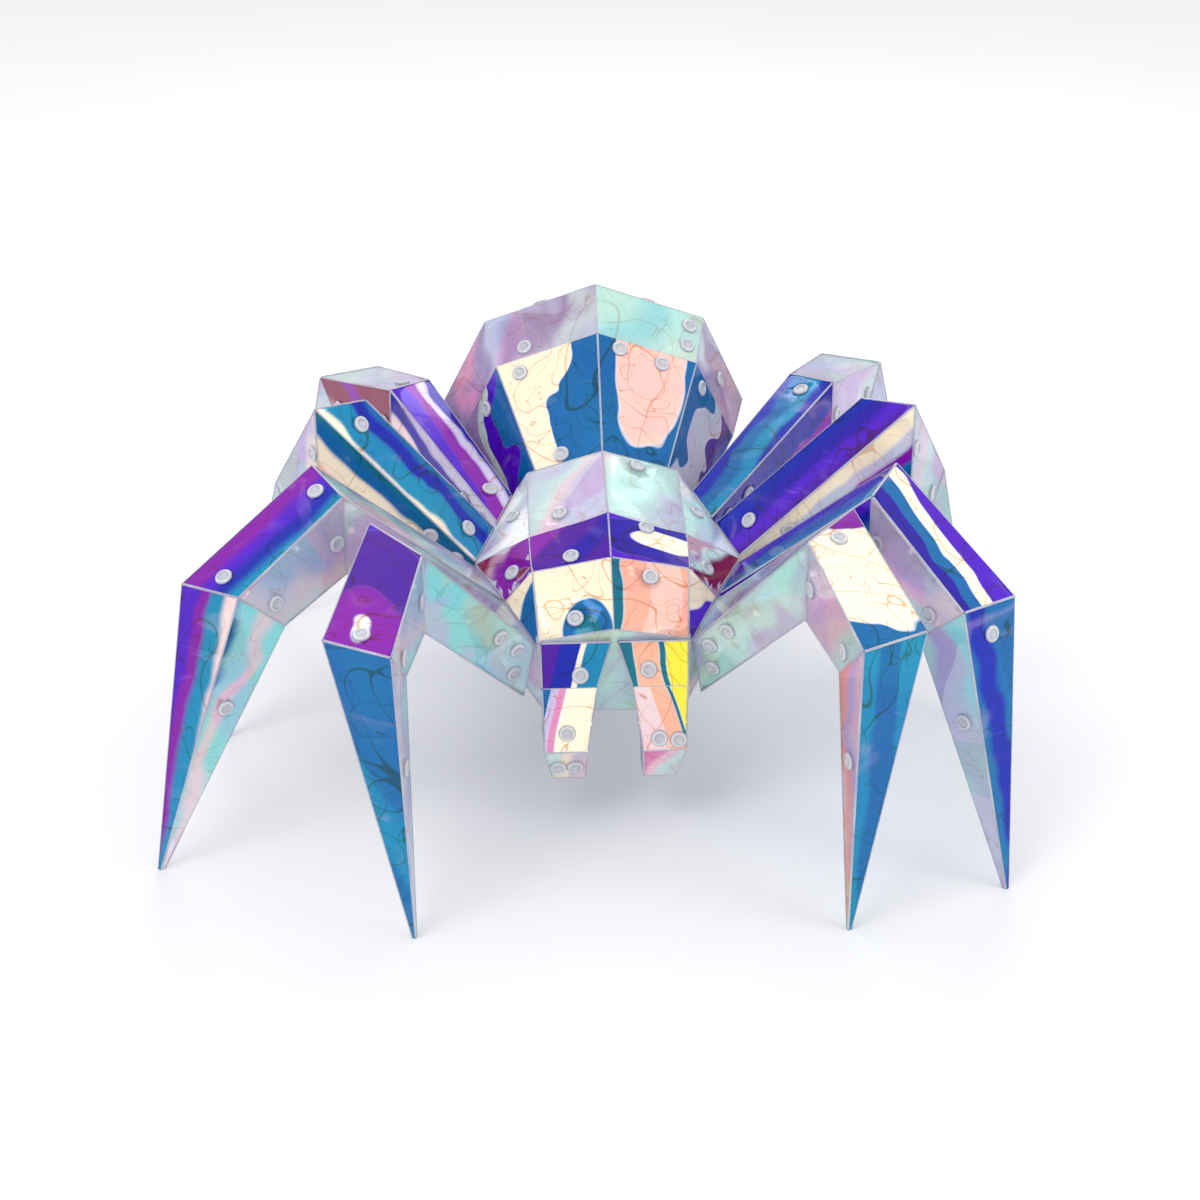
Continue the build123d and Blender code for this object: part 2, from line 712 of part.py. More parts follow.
# Contacts: a plate behind each cell end, with a coned spring at each negative end
with BuildPart() as battery_contacts:
    for column in (-1, 0, 1):
        for end in (-1, 1):
            wall_y = BAY_Y[0] if end < 0 else BAY_Y[1]
            plate_y = wall_y - end * 0.5
            with Locations((column * CELL_PITCH, plate_y, cell_z)):
                Box(11, 0.5, 12)
            negative = (end < 0) != (column == 0)
            reach = abs(plate_y - bay_middle_y) - CELL_LENGTH / 2 - 0.4
            with BuildSketch(Plane.XZ.offset(-plate_y)):
                with Locations((column * CELL_PITCH, cell_z)):
                    Circle(4.2 if negative else 2.4)
            extrude(amount=end * reach, taper=20 if negative else 0)
finish(battery_contacts.part, "battery_contacts")

# Slide switch: a ribbed knob below the box on a slider inside it
with BuildPart() as power_switch:
    with Locations((-2, SWITCH_Y, BOX_Z[0] + BOX_WALL + 1.3)):
        Box(14, 7, 2)
    with Locations((-2, SWITCH_Y, BOX_Z[0] + BOX_WALL / 2 + 0.2)):
        Box(*SWITCH_KNOB, BOX_WALL + 3.4)
    for rib in (-1.4, 0, 1.4):
        with Locations((-2 + rib, SWITCH_Y, BOX_Z[0] - 1.6)):
            Box(0.7, SWITCH_KNOB[1], 1.0)
finish(power_switch.part, "power_switch")

# Legs: thigh, shin and spike, each a folded tube, with their rivets and light string
for leg_name in STANCE:
    section_outlines = leg_outlines(leg_name)
    spots = leg_rivet_spots(leg_name)
    finish(make_tube(section_outlines[0:2], spots[0]), f"{leg_name}_thigh")
    finish(make_tube(section_outlines[1:3], spots[1]), f"{leg_name}_shin")
    finish(make_tube(section_outlines[2:4], spots[2], SPIKE_HOLLOW), f"{leg_name}_spike")
    finish(make_rivets([spot for part in spots for spot in part]), f"{leg_name}_rivets")
    leg_route = leg_string_points(leg_name)
    finish(make_string([leg_route], run_middles(leg_route, 2)), f"{leg_name}_light_string")
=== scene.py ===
"""Looks of the faceted light-up spider: iridescent film, frosted folds, clear rivets, light string."""

import json
import math
from collections import defaultdict

import bmesh
import bpy
import numpy as np
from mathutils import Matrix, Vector

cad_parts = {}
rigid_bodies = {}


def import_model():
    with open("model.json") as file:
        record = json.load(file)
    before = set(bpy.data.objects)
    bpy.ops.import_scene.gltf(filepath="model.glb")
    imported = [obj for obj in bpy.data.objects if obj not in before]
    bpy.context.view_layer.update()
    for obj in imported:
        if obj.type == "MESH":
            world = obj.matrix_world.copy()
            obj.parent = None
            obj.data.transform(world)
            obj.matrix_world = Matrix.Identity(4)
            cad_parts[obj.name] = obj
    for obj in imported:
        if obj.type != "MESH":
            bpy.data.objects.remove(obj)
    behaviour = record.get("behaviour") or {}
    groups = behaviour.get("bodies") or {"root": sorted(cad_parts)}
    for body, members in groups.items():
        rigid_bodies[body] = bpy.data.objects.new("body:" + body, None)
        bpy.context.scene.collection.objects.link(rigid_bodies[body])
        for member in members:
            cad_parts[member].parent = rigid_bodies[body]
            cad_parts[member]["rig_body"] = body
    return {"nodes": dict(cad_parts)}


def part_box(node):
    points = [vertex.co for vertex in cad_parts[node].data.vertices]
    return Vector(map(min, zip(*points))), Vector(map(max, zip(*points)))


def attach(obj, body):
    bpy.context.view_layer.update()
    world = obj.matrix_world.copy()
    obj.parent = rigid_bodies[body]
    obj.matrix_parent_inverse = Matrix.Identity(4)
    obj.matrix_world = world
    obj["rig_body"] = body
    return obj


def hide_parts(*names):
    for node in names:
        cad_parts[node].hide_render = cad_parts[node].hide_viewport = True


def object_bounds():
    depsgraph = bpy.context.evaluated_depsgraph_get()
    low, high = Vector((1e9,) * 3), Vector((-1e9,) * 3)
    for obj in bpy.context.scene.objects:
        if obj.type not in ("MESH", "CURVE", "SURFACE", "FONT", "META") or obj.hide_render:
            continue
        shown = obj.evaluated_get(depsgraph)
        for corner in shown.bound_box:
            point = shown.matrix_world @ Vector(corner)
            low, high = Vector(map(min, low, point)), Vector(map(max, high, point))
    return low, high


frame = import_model()
cad_low, cad_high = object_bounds()
boxes = {node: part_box(node) for node in frame["nodes"]}
WELD = 2e-6  # corners closer than this are one

LEGS = [f"{side}_leg_{n}" for side in ("left", "right") for n in (1, 2, 3, 4)]
FOLD_ANGLE = math.radians(5)
SHALLOW_FOLD_ANGLE = math.radians(2)  # for sheets whose neighbouring panels are almost level
SHALLOW_SHEETS = ("thorax_shell", "fang_left", "fang_right")
FOLD_HALF_WIDTH = 0.00075
FOLD_HALF_HEIGHT = 0.00032
FOLD_SIDES = 8
SLIVER = 0.0016  # panels narrower than this are the sheet's cut edge
SMALL_AREA = 7e-5  # panels smaller than this have no film bands of their own
SHORTEST_FOLD = 0.004
FOLD_TRIM = 0.0008  # how far a fold bar stops short of each end of its fold
FOLD_SINK = 0.0003  # how far a fold bar's middle lies below the fold
HOLE_INSET = 0.002  # edges further than this inside a panel's outline belong to rivet holes
TWIN_FACING = -0.97  # the two walls of a flat sheet face away from each other,
TWIN_GAP = 0.003  # are this close
TWIN_SLIP = 0.02  # and have middles this close
THORAX_ROWS = (0.45, 0.2)  # shares of the thorax's length where the next row starts
THORAX_DOME = 0.04  # how far the top facets' middles are from the middle at most
ABDOMEN_BANDS = (0.36, 0.52, 0.78)
FANG_PARTS = (0.4, 0.76)

# ---- colours of the film, pale ones partly painted reflection -----------------------------
TONES = {
    "white": "f4f9f7", "mint": "c3e6d8", "cream": "fae9c6", "ivory": "fff4d4", "peach": "f2ad90",
    "blush": "eccbcd", "pink": "dd8cb2", "rose": "b28a9b", "lilac": "c6bad8", "mauve": "a183a8",
    "haze": "c1c0d0", "grey": "c9ced2", "violet": "4a0cb4", "indigo": "200a92", "deep": "041c98",
    "azure": "025f98", "cerulean": "067ea6", "teal": "04687c", "aqua": "9fd9d8", "magenta": "7c0a96",
    "purple": "46088c", "crimson": "7e1440", "yellow": "f6e43c", "sage": "c4d6c0", "salmon": "f4c6b2",
}


def tone(name):
    """Linear RGBA of a named film colour."""
    value = [int(TONES[name][k : k + 2], 16) / 255 for k in (0, 2, 4)]
    return [c / 12.92 if c <= 0.04045 else ((c + 0.055) / 1.055) ** 2.4 for c in value] + [1.0]


# A panel's film: colours in order, where each gives way to the next, how far the bands run along
# (u) and across (v) the panel, how wavy their borders are, how dense the film is and how soft the
# borders are. With a pool, the colours run outwards from a spot instead: its place along and
# across the panel, then how much a step along or across counts.
# The pale cream, peach, ivory and white bands are painted reflections of the studio lights in the film, fixed
# for one view; the deep blue, violet and magenta bands are the film's own tint.
def film(colours, stops=(), u=0.0, v=1.0, wave=0.12, dense=0.8, soft=0.02, pool=None):
    """Film description of one panel."""
    names = colours.split()
    names += [names[-1]] * (4 - len(names))
    stops = list(stops) + [9.0] * (3 - len(stops))
    return {"tones": [tone(n) for n in names], "stops": stops, "u": u, "v": v, "wave": wave,
            "dense": dense, "soft": soft, "pool": pool}


CLEAR = [
    film("haze lilac mint grey", (0.25, 0.55, 0.8), 0.6, 0.5, 0.35, 0.45, 0.2),
    film("mint haze blush lilac", (0.3, 0.5, 0.75), 0.5, 0.6, 0.35, 0.45, 0.2),
    film("lilac grey aqua haze", (0.2, 0.55, 0.8), 0.8, 0.3, 0.4, 0.45, 0.2),
    film("grey blush mint lilac", (0.3, 0.6, 0.85), 0.3, 0.8, 0.3, 0.45, 0.2),
]
DEEP = [
    film("violet deep azure cerulean", (0.25, 0.5, 0.8), 0.2, 0.9, 0.12, 0.9, 0.1),
    film("azure cream azure deep", (0.25, 0.6, 0.85), 0.3, 0.8, 0.2, 0.85),
    film("purple magenta indigo azure", (0.3, 0.5, 0.75), 0.7, 0.4, 0.15, 0.9, 0.08),
    film("teal cerulean peach cream", (0.4, 0.62, 0.7), 0.4, 0.7, 0.2, 0.85),
]

FILMS = {
    # legs: part and side
    "left_leg_1_thigh top": film("mint haze lilac blush", (0.3, 0.55, 0.8), 0.8, 0.3, 0.3, 0.5, 0.15),
    "left_leg_1_thigh front": film("mint sage aqua lilac", (0.3, 0.55, 0.8), 0.7, 0.4, 0.3, 0.5, 0.1),
    "left_leg_1_shin top": film("white magenta purple violet", (0.13, 0.42, 0.9),
        0, 1, 0.11, 0.95, 0.03, (0.86, 0.45, 1.0, 0.7)),
    "left_leg_1_shin front": film("haze lilac blush mint", (0.25, 0.5, 0.8), 0.7, 0.5, 0.3, 0.45, 0.15),
    "left_leg_1_shin rear": film("cerulean violet lilac haze", (0.2, 0.4, 0.6), 0.2, 0.8, 0.2, 0.7, 0.1),
    "left_leg_1_spike top": film("azure cerulean azure cerulean", (0.3, 0.62, 0.84),
        1.0, -0.35, 0.06, 0.9, 0.06),
    "left_leg_1_spike front": film("haze blush lilac mint", (0.2, 0.45, 0.75), 0.3, 0.8, 0.25, 0.5, 0.12),
    "left_leg_1_spike rear": film("lilac haze violet blush", (0.3, 0.5, 0.7), 0.6, 0.4, 0.25, 0.5, 0.12),
    "left_leg_2_shin top": film("magenta violet deep cerulean", (0.3, 0.58, 0.86),
        0.0, 1.0, 0.06, 0.95, 0.12),
    "left_leg_2_shin front": film("haze lilac blush mint", (0.3, 0.5, 0.8), 0.3, 0.7, 0.25, 0.45, 0.15),
    "left_leg_2_spike top": film("violet magenta cerulean blush", (0.3, 0.5, 0.78),
        0.1, 0.9, 0.07, 0.85, 0.07),
    "left_leg_2_spike front": film("azure aqua blush aqua", (0.18, 0.42, 0.62), 0.1, 0.9, 0.2, 0.6, 0.08),
    "left_leg_2_thigh front": film("haze mint lilac blush", (0.3, 0.5, 0.8), 0.5, 0.5, 0.3, 0.5, 0.15),
    "left_leg_2_thigh top": film("lilac haze mint blush", (0.3, 0.5, 0.8), 0.5, 0.5, 0.3, 0.5, 0.15),
    "left_leg_3_thigh top": film("azure deep cerulean cream", (0.28, 0.5, 0.86), 0.25, 0.8, 0.12, 0.92, 0.05),
    "left_leg_3_thigh front": film("teal azure cream peach", (0.22, 0.45, 0.75), 0.2, 0.85, 0.12, 0.8, 0.05),
    "left_leg_3_shin top": film("lilac haze grey mint", (0.3, 0.5, 0.8), 0.5, 0.6, 0.3, 0.5, 0.15),
    "left_leg_3_shin front": film("cream haze lilac grey", (0.3, 0.5, 0.8), 0.5, 0.6, 0.3, 0.5, 0.15),
    "left_leg_4_thigh top": film("indigo lilac magenta violet", (0.25, 0.42, 0.7),
        0.15, 0.9, 0.12, 0.92, 0.05),
    "left_leg_4_thigh front": film("lilac indigo blush magenta", (0.25, 0.5, 0.7),
        0.15, 0.9, 0.12, 0.8, 0.05),
    "left_leg_4_shin top": film("grey haze lilac grey", (0.3, 0.5, 0.8), 0.5, 0.6, 0.3, 0.6, 0.15),
    "left_leg_4_shin front": film("crimson magenta crimson rose", (0.35, 0.6, 0.86),
        0.6, 0.5, 0.18, 0.92, 0.06),
    "right_leg_1_thigh top": film("mint haze lilac grey", (0.3, 0.55, 0.8), 0.8, 0.3, 0.3, 0.5, 0.15),
    "right_leg_1_thigh front": film("lilac sage mint haze", (0.25, 0.5, 0.8), 0.7, 0.4, 0.3, 0.5, 0.1),
    "right_leg_1_shin top": film("magenta ivory ivory azure", (0.1, 0.5, 0.88), 0.9, 0.2, 0.12, 0.9, 0.015),
    "right_leg_1_shin front": film("haze lilac blush mint", (0.25, 0.5, 0.8), 0.7, 0.5, 0.3, 0.45, 0.15),
    "right_leg_1_shin rear": film("indigo azure lilac blush", (0.3, 0.5, 0.7), 0.3, 0.8, 0.2, 0.75, 0.06),
    "right_leg_1_spike top": film("cerulean azure cerulean mint", (0.3, 0.6, 0.9),
        0.25, 0.8, 0.07, 0.9, 0.04),
    "right_leg_1_spike front": film("blush lilac peach mint", (0.3, 0.5, 0.75), 0.5, 0.6, 0.25, 0.5, 0.12),
    "right_leg_2_shin top": film("violet ivory azure indigo", (0.14, 0.4, 0.68), -0.3, 1.1, 0.09, 0.93, 0.02),
    "right_leg_2_shin front": film("haze lilac blush mint", (0.3, 0.5, 0.8), 0.3, 0.7, 0.25, 0.45, 0.15),
    "right_leg_2_spike top": film("azure deep azure cerulean", (0.35, 0.6, 0.85), 0.4, 0.6, 0.08, 0.93, 0.05),
    "right_leg_2_spike front": film("aqua haze lilac mint", (0.3, 0.5, 0.75), 0.2, 0.8, 0.2, 0.5, 0.1),
    "right_leg_3_thigh top": film("deep indigo violet purple", (0.3, 0.55, 0.8), 0.1, 0.9, 0.08, 0.95, 0.1),
    "right_leg_3_thigh front": film("cream haze magenta azure", (0.3, 0.5, 0.7), 0.1, 0.9, 0.12, 0.75, 0.05),
    "right_leg_3_shin top": film("grey haze lilac mint", (0.3, 0.5, 0.8), 0.5, 0.6, 0.3, 0.5, 0.15),
    "right_leg_4_thigh top": film("deep azure cerulean deep", (0.3, 0.55, 0.8), 0.2, 0.85, 0.12, 0.93, 0.06),
    "right_leg_4_thigh front": film("indigo deep magenta azure", (0.3, 0.5, 0.7), 0.1, 0.9, 0.12, 0.85, 0.05),
    "right_leg_4_shin top": film("haze lilac grey mint", (0.3, 0.5, 0.8), 0.5, 0.6, 0.3, 0.5, 0.15),
    "right_leg_4_shin front": film("lilac haze grey blush", (0.3, 0.5, 0.8), 0.5, 0.6, 0.3, 0.55, 0.15),
    # thorax: row from the neck, then the column
    "thorax 0 left": film("haze mint blush lilac", (0.3, 0.5, 0.75), 0.4, 0.7, 0.35, 0.6, 0.15),
    "thorax 0 right": film("blush mint mint haze", (0.25, 0.5, 0.8), 0.4, 0.7, 0.35, 0.6, 0.15),
    "thorax 1 left": film("magenta purple indigo purple", (0.3, 0.6, 0.85), 0.5, 0.6, 0.14, 0.95, 0.06),
    "thorax 1 right": film("ivory indigo violet indigo", (0.2, 0.45, 0.8),
        0, 1, 0.14, 0.95, 0.015, (0.42, 0.6, 0.8, 0.55)),
    "thorax 2 left": film("teal azure cream cream", (0.14, 0.3, 1.2),
        0, 1, 0.06, 0.88, 0.02, (1.0, 0.66, 0.7, 1.0)),
    "thorax 2 right": film("teal peach salmon peach", (0.12, 0.45, 0.85), 0.05, 0.95, 0.08, 0.88, 0.02),
    # the white on the thorax's front sides is painted glare from the studio lights
    "thorax 0 left side": film("white mint haze white", (0.3, 0.55, 0.8), 0.6, 0.5, 0.3, 0.7, 0.1),
    "thorax 0 right side": film("white mint haze white", (0.3, 0.55, 0.8), 0.6, 0.5, 0.3, 0.7, 0.1),
    "thorax 1 left side": film("crimson rose magenta crimson", (0.35, 0.5, 0.8), 0.6, 0.5, 0.25, 0.9, 0.06),
    "thorax 1 right side": film("rose mint crimson rose", (0.3, 0.5, 0.8), 0.6, 0.5, 0.25, 0.85, 0.06),
    "thorax 2 left side": film("cream cream azure deep", (0.2, 0.45, 0.8), 0.7, 0.4, 0.15, 0.85, 0.03),
    "thorax 2 right side": film("cream cream violet purple", (0.2, 0.45, 0.8), 0.7, 0.4, 0.15, 0.85, 0.03),
    # abdomen: band from the neck, then the column from the left
    "abdomen 0 1": film("cream cream azure azure", (0.3, 0.78, 2.0), 0.45, 1.0, 0.24, 0.9, 0.012),
    "abdomen 0 2": film("salmon salmon azure deep", (0.2, 0.42, 1.1),
        0, 1, 0.05, 0.9, 0.012, (0.06, 0.55, 0.52, 1.0)),
    "abdomen 0 0": film("mauve sage violet azure", (0.3, 0.5, 0.75), 0.1, 0.95, 0.34, 0.85, 0.015),
    "abdomen 0 3": film("azure haze purple deep", (0.32, 0.55, 0.75), 0.2, 0.85, 0.34, 0.88, 0.015),
    "abdomen 1 1": film("lilac mauve grey haze", (0.3, 0.55, 0.8), 0.3, 0.7, 0.25, 0.7, 0.15),
    "abdomen 1 2": film("mint aqua mint sage", (0.3, 0.55, 0.8), 0.3, 0.7, 0.25, 0.7, 0.15),
    "abdomen 1 0": film("mauve pink mauve lilac", (0.3, 0.5, 0.8), 0.4, 0.7, 0.3, 0.75, 0.12),
    "abdomen 1 3": film("grey mauve rose mauve", (0.3, 0.5, 0.8), 0.4, 0.7, 0.3, 0.75, 0.12),
    # fangs: part from the root, then the side
    "fang_left 0 front": film("purple deep cream cerulean", (0.2, 0.5, 0.57), 0.1, 0.9, 0.09, 0.92, 0.015),
    "fang_left 1 front": film("azure lilac pink ivory", (0.1, 0.22, 0.36), 0.15, 0.9, 0.05, 0.88, 0.02),
    "fang_left 2 front": film("mint cream haze blush", (0.3, 0.5, 0.8), 0.4, 0.7, 0.3, 0.6, 0.1),
    "fang_right 0 front": film("teal peach teal yellow", (0.2, 0.6, 0.7), 0, 1, 0.07, 0.9, 0.015),
    "fang_right 1 front": film("blush peach teal yellow", (0.3, 0.62, 0.7), -0.3, 1.0, 0.06, 0.85, 0.02),
    "fang_right 2 front": film("pink blush mint sage", (0.4, 0.6, 0.8), 0.2, 0.8, 0.25, 0.6, 0.08),
    "thorax_face_panel": film("sage mint haze sage", (0.3, 0.5, 0.8), 0.4, 0.7, 0.3, 0.6, 0.15),
}


def film_for(key, number):
    """The film of a panel: its own, or one of the general ones."""
    if key in FILMS:
        return FILMS[key]
    often = "rear" in key or "abdomen 2" in key or "abdomen 3" in key
    pool = DEEP if (number % 3 if often else number % 4 == 0) else CLEAR
    return pool[number % len(pool)]


# ---- panels of a folded sheet -------------------------------------------------------------
def mesh_of(node):
    """bmesh of a CAD node with its shared corners joined."""
    bm = bmesh.new()
    bm.from_mesh(frame["nodes"][node].data)
    bmesh.ops.remove_doubles(bm, verts=bm.verts, dist=WELD)
    bm.normal_update()
    for table in (bm.verts, bm.edges, bm.faces):
        table.ensure_lookup_table()
    return bm


def flood(bm, fold_angle):
    """Faces grouped into panels, which meet at folds, as lists of face numbers."""
    owner, groups = {}, []
    for seed in bm.faces:
        if seed.index in owner:
            continue
        stack, group = [seed], []
        owner[seed.index] = len(groups)
        while stack:
            face = stack.pop()
            group.append(face.index)
            for edge in face.edges:
                if len(edge.link_faces) != 2 or edge.calc_face_angle(0.0) > fold_angle:
                    continue
                for other in edge.link_faces:
                    if other.index not in owner:
                        owner[other.index] = len(groups)
                        stack.append(other)
        groups.append(group)
    return groups, owner


def hull_corners(points, count=4):
    """Main corners of a flat set of points, in order."""
    points = sorted(set((round(x, 6), round(y, 6)) for x, y in points))

    def half(row):
        out = []
        for p in row:
            while len(out) > 1 and (out[-1][0] - out[-2][0]) * (p[1] - out[-2][1]) <= (
                out[-1][1] - out[-2][1]
            ) * (p[0] - out[-2][0]):
                out.pop()
            out.append(p)
        return out[:-1]

    ring = half(points) + half(points[::-1])

    def cut(k):
        a, b, c = (np.array(ring[(k + d) % len(ring)]) for d in (-1, 0, 1))
        return abs((b - a)[0] * (c - b)[1] - (b - a)[1] * (c - b)[0])

    while len(ring) > count:
        ring.pop(min(range(len(ring)), key=cut))
    return [np.array(p) for p in ring]


class Panel:
    """One flat or slightly twisted panel between folds, or a cut edge of the sheet."""

    def __init__(self, bm, group):
        faces = [bm.faces[k] for k in group]
        self.area = sum(f.calc_area() for f in faces)
        self.small = self.area < SMALL_AREA
        if self.small:
            return
        total = sum((f.normal * f.calc_area() for f in faces), Vector())
        self.normal = total.normalized() if total.length > 0 else Vector((0, 0, 1))
        verts = {v.index: v.co for f in faces for v in f.verts}
        self.centre = sum((f.calc_center_median() * f.calc_area() for f in faces), Vector()) / self.area
        x_axis = self.normal.orthogonal().normalized()
        y_axis = self.normal.cross(x_axis)
        flat = [((p - self.centre).dot(x_axis), (p - self.centre).dot(y_axis)) for p in verts.values()]
        corners = hull_corners(flat)
        self.corners = [self.centre + x_axis * c[0] + y_axis * c[1] for c in corners]
        ring = list(zip(self.corners, self.corners[1:] + self.corners[:1]))
        longest = max((b - a).length for a, b in ring)
        self.small = self.area / longest < SLIVER or len(self.corners) < 4

    def coordinates(self, along, across):
        """3 x 2 and 1 x 2 affine map from a place to (u, v), with u along one direction."""
        ring = self.corners
        mids = [(ring[k] + ring[(k + 1) % 4]) / 2 for k in range(4)]
        first, second = mids[2] - mids[0], mids[3] - mids[1]
        start = 0 if abs(first.normalized().dot(along)) > abs(second.normalized().dot(along)) else 1
        order = [ring[(start + k) % 4] for k in range(4)]  # the start side, then the end side
        if (mids[(start + 2) % 4] - mids[start]).dot(along) < 0:
            order = order[2:] + order[:2]
        if (order[1] - order[0]).dot(across) < 0:
            order = [order[1], order[0], order[3], order[2]]
        place = np.array([list(p) + [1.0] for p in order])
        goal = np.array([[0, 0], [0, 1], [1, 1], [1, 0]], float)
        return np.linalg.lstsq(place, goal, rcond=1e-4)[0]


def middle(node):
    """Middle of a CAD node's box."""
    low, high = boxes[node]
    return (low + high) / 2


def leg_key(node, panel, inwards):
    """Name and reading directions of a leg panel."""
    leg, part = node.rsplit("_", 1)
    following = {"thigh": "shin", "shin": "spike", "spike": "spike"}[part]
    previous = {"thigh": "thigh", "shin": "thigh", "spike": "shin"}[part]
    heading = middle(f"{leg}_{following}") - middle(f"{leg}_{previous}")
    heading.z = 0
    heading.normalize()
    cross = heading.cross(Vector((0, 0, 1)))
    if cross.y > 0:
        cross = -cross
    up = heading if part == "spike" else Vector((0, 0, 1))
    normal = -panel.normal if inwards else panel.normal
    places = {"top": normal.dot(up), "bottom": -normal.dot(up), "front": normal.dot(cross),
              "rear": -normal.dot(cross)}
    side = max(places, key=places.get)
    along = Vector((0, 0, -1)) if part == "spike" else heading * 0.9 + Vector((0, 0, 0.2))
    across = cross if side in ("top", "bottom") else -up
    return f"{node} {side}", along.normalized(), across


def thorax_key(node, panel, inwards):
    """Name and reading directions of a thorax shell panel."""
    low, high = boxes["thorax_shell"]
    row = sum(panel.centre.y < low.y + share * (high.y - low.y) for share in THORAX_ROWS)
    side = "right" if panel.centre.x > middle("thorax_shell").x else "left"
    normal = -panel.normal if inwards else panel.normal
    if abs(panel.centre.x - middle("thorax_shell").x) < THORAX_DOME and normal.z > 0.3:
        return f"thorax {row} {side}", Vector((0, -0.8, -0.6)), Vector((1, 0, 0))
    below = " band" if normal.z < 0.35 else " side"
    return f"thorax {row} {side}{below}", Vector((0, -0.8, -0.6)), Vector((1, 0, 0))


def abdomen_key(node, panel, inwards):
    """Name and reading directions of an abdomen panel."""
    low, high = boxes["abdomen_upper_shell"]
    rings = [low.y + share * (high.y - low.y) for share in ABDOMEN_BANDS]
    centre_z = middle("thorax_shell").z + 0.03
    band = sum(panel.centre.y > y for y in rings)
    turn = math.degrees(math.atan2(panel.centre.x - middle(node).x, panel.centre.z - centre_z))
    column = int((turn + 90) // 45) if node == "abdomen_upper_shell" else int(abs(turn) // 45)
    name = "abdomen" if node == "abdomen_upper_shell" else "under"
    return f"{name} {band} {column}", Vector((0, -0.6, -0.8)), Vector((1, 0, 0))


def fang_key(node, panel, inwards):
    """Name and reading directions of a fang panel."""
    low, high = boxes[node]
    level = (high.z - panel.centre.z) / (high.z - low.z)
    part = sum(level > share for share in FANG_PARTS)
    normal = -panel.normal if inwards else panel.normal
    side = "front" if normal.y < -0.6 else "back" if normal.y > 0.6 else "side"
    return f"{node} {part} {side}", Vector((0, 0, -1)), Vector((1, 0, 0))


def plain_key(node, panel, inwards):
    """Name and reading directions of a panel on a flat or belly piece."""
    return node, Vector((0, 0.4, -1)).normalized(), Vector((1, 0, 0))


SHEETS = {"thorax_shell": thorax_key, "abdomen_upper_shell": abdomen_key,
          "abdomen_lower_shell": abdomen_key, "fang_left": fang_key, "fang_right": fang_key,
          "thorax_belly_panel": plain_key, "thorax_face_panel": plain_key,
          "abdomen_tail_panel": plain_key}
for leg in LEGS:
    for part in ("thigh", "shin", "spike"):
        SHEETS[f"{leg}_{part}"] = leg_key


def add_piece(name, mesh, node):
    """Adds a visible piece that stands for a CAD node."""
    piece = bpy.data.objects.new(name, mesh)
    bpy.context.scene.collection.objects.link(piece)
    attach(piece, frame["nodes"][node]["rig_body"])
    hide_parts(node)
    return piece


CUT_EDGE = film("haze", (), 0, 1, 0, 0.8)


def mark_inner(node, panels):
    """Tells the panels of the sheet's inner wall from those of its outer wall."""
    for p in panels:
        if SHEETS[node] is plain_key:  # the inner wall faces a larger twin outside it
            twins = [q for q in panels if q is not p and q.normal.dot(p.normal) < TWIN_FACING
                     and abs((q.centre - p.centre).dot(p.normal)) < TWIN_GAP
                     and (q.centre - p.centre).length < TWIN_SLIP]
            p.inner = bool(twins) and max(twins, key=lambda q: q.area).area > p.area
        else:  # the inner wall of a hollow piece faces its middle
            p.inner = (p.centre - middle(node)).dot(p.normal) < 0


def describe(node, panels):
    """Film and (u, v) map of each panel."""
    number, described = 0, []
    for p in panels:
        if p.small:
            described.append((CUT_EDGE, np.zeros((4, 2))))
            continue
        key, along, across = SHEETS[node](node, p, p.inner)
        number += 1
        look = film_for(key, sum(map(ord, key)) + (number if key not in FILMS else 0) // 2)
        described.append((look, p.coordinates(along, across)))
    return described


def corner_values(bm, owner, described):
    """What the film material reads at each face corner, as attribute name, type and values."""
    corners = sum(len(f.verts) for f in bm.faces)
    tones = [np.zeros((corners, 4), np.float32) for _ in range(4)]
    stops, feel, pool = (np.zeros((corners, 3), np.float32) for _ in range(3))
    across = np.zeros(corners, np.float32)
    row = 0
    for face in bm.faces:
        look, chart = described[owner[face.index]]
        for vert in face.verts:
            u, v = np.array(list(vert.co) + [1.0]) @ chart
            for values, colour in zip(tones, look["tones"]):
                values[row] = colour
            stops[row] = look["stops"]
            feel[row] = (look["wave"], look["dense"], look["soft"])
            across[row] = look["u"] * u + look["v"] * v
            if look["pool"]:
                along_at, across_at, along_share, across_share = look["pool"]
                pool[row] = ((u - along_at) * along_share, (v - across_at) * across_share, 1)
            row += 1
    return [(f"tone_{k}", "FLOAT_COLOR", values) for k, values in enumerate(tones)] + [
        ("stops", "FLOAT_VECTOR", stops), ("feel", "FLOAT_VECTOR", feel),
        ("pool", "FLOAT_VECTOR", pool), ("across", "FLOAT", across)]


def outer_folds(bm, panels, owner):
    """Ends and outward direction of each fold on the sheet's outer wall."""
    for edge in bm.edges:
        if len(edge.link_faces) != 2:
            continue
        sides = [panels[owner[f.index]] for f in edge.link_faces]
        if sides[0] is sides[1] or edge.calc_length() < SHORTEST_FOLD:
            continue
        big = [s for s in sides if not s.small]
        outer = [s for s in big if not s.inner]
        if not outer or len(big) != len(outer) or (len(big) == 1 and hole_edge(edge, big[0])):
            continue
        normal = sum((s.normal for s in outer), Vector()).normalized()
        yield edge.verts[0].co.copy(), edge.verts[1].co.copy(), normal


FIELDS = {"FLOAT_COLOR": "color", "FLOAT_VECTOR": "vector", "FLOAT": "value"}


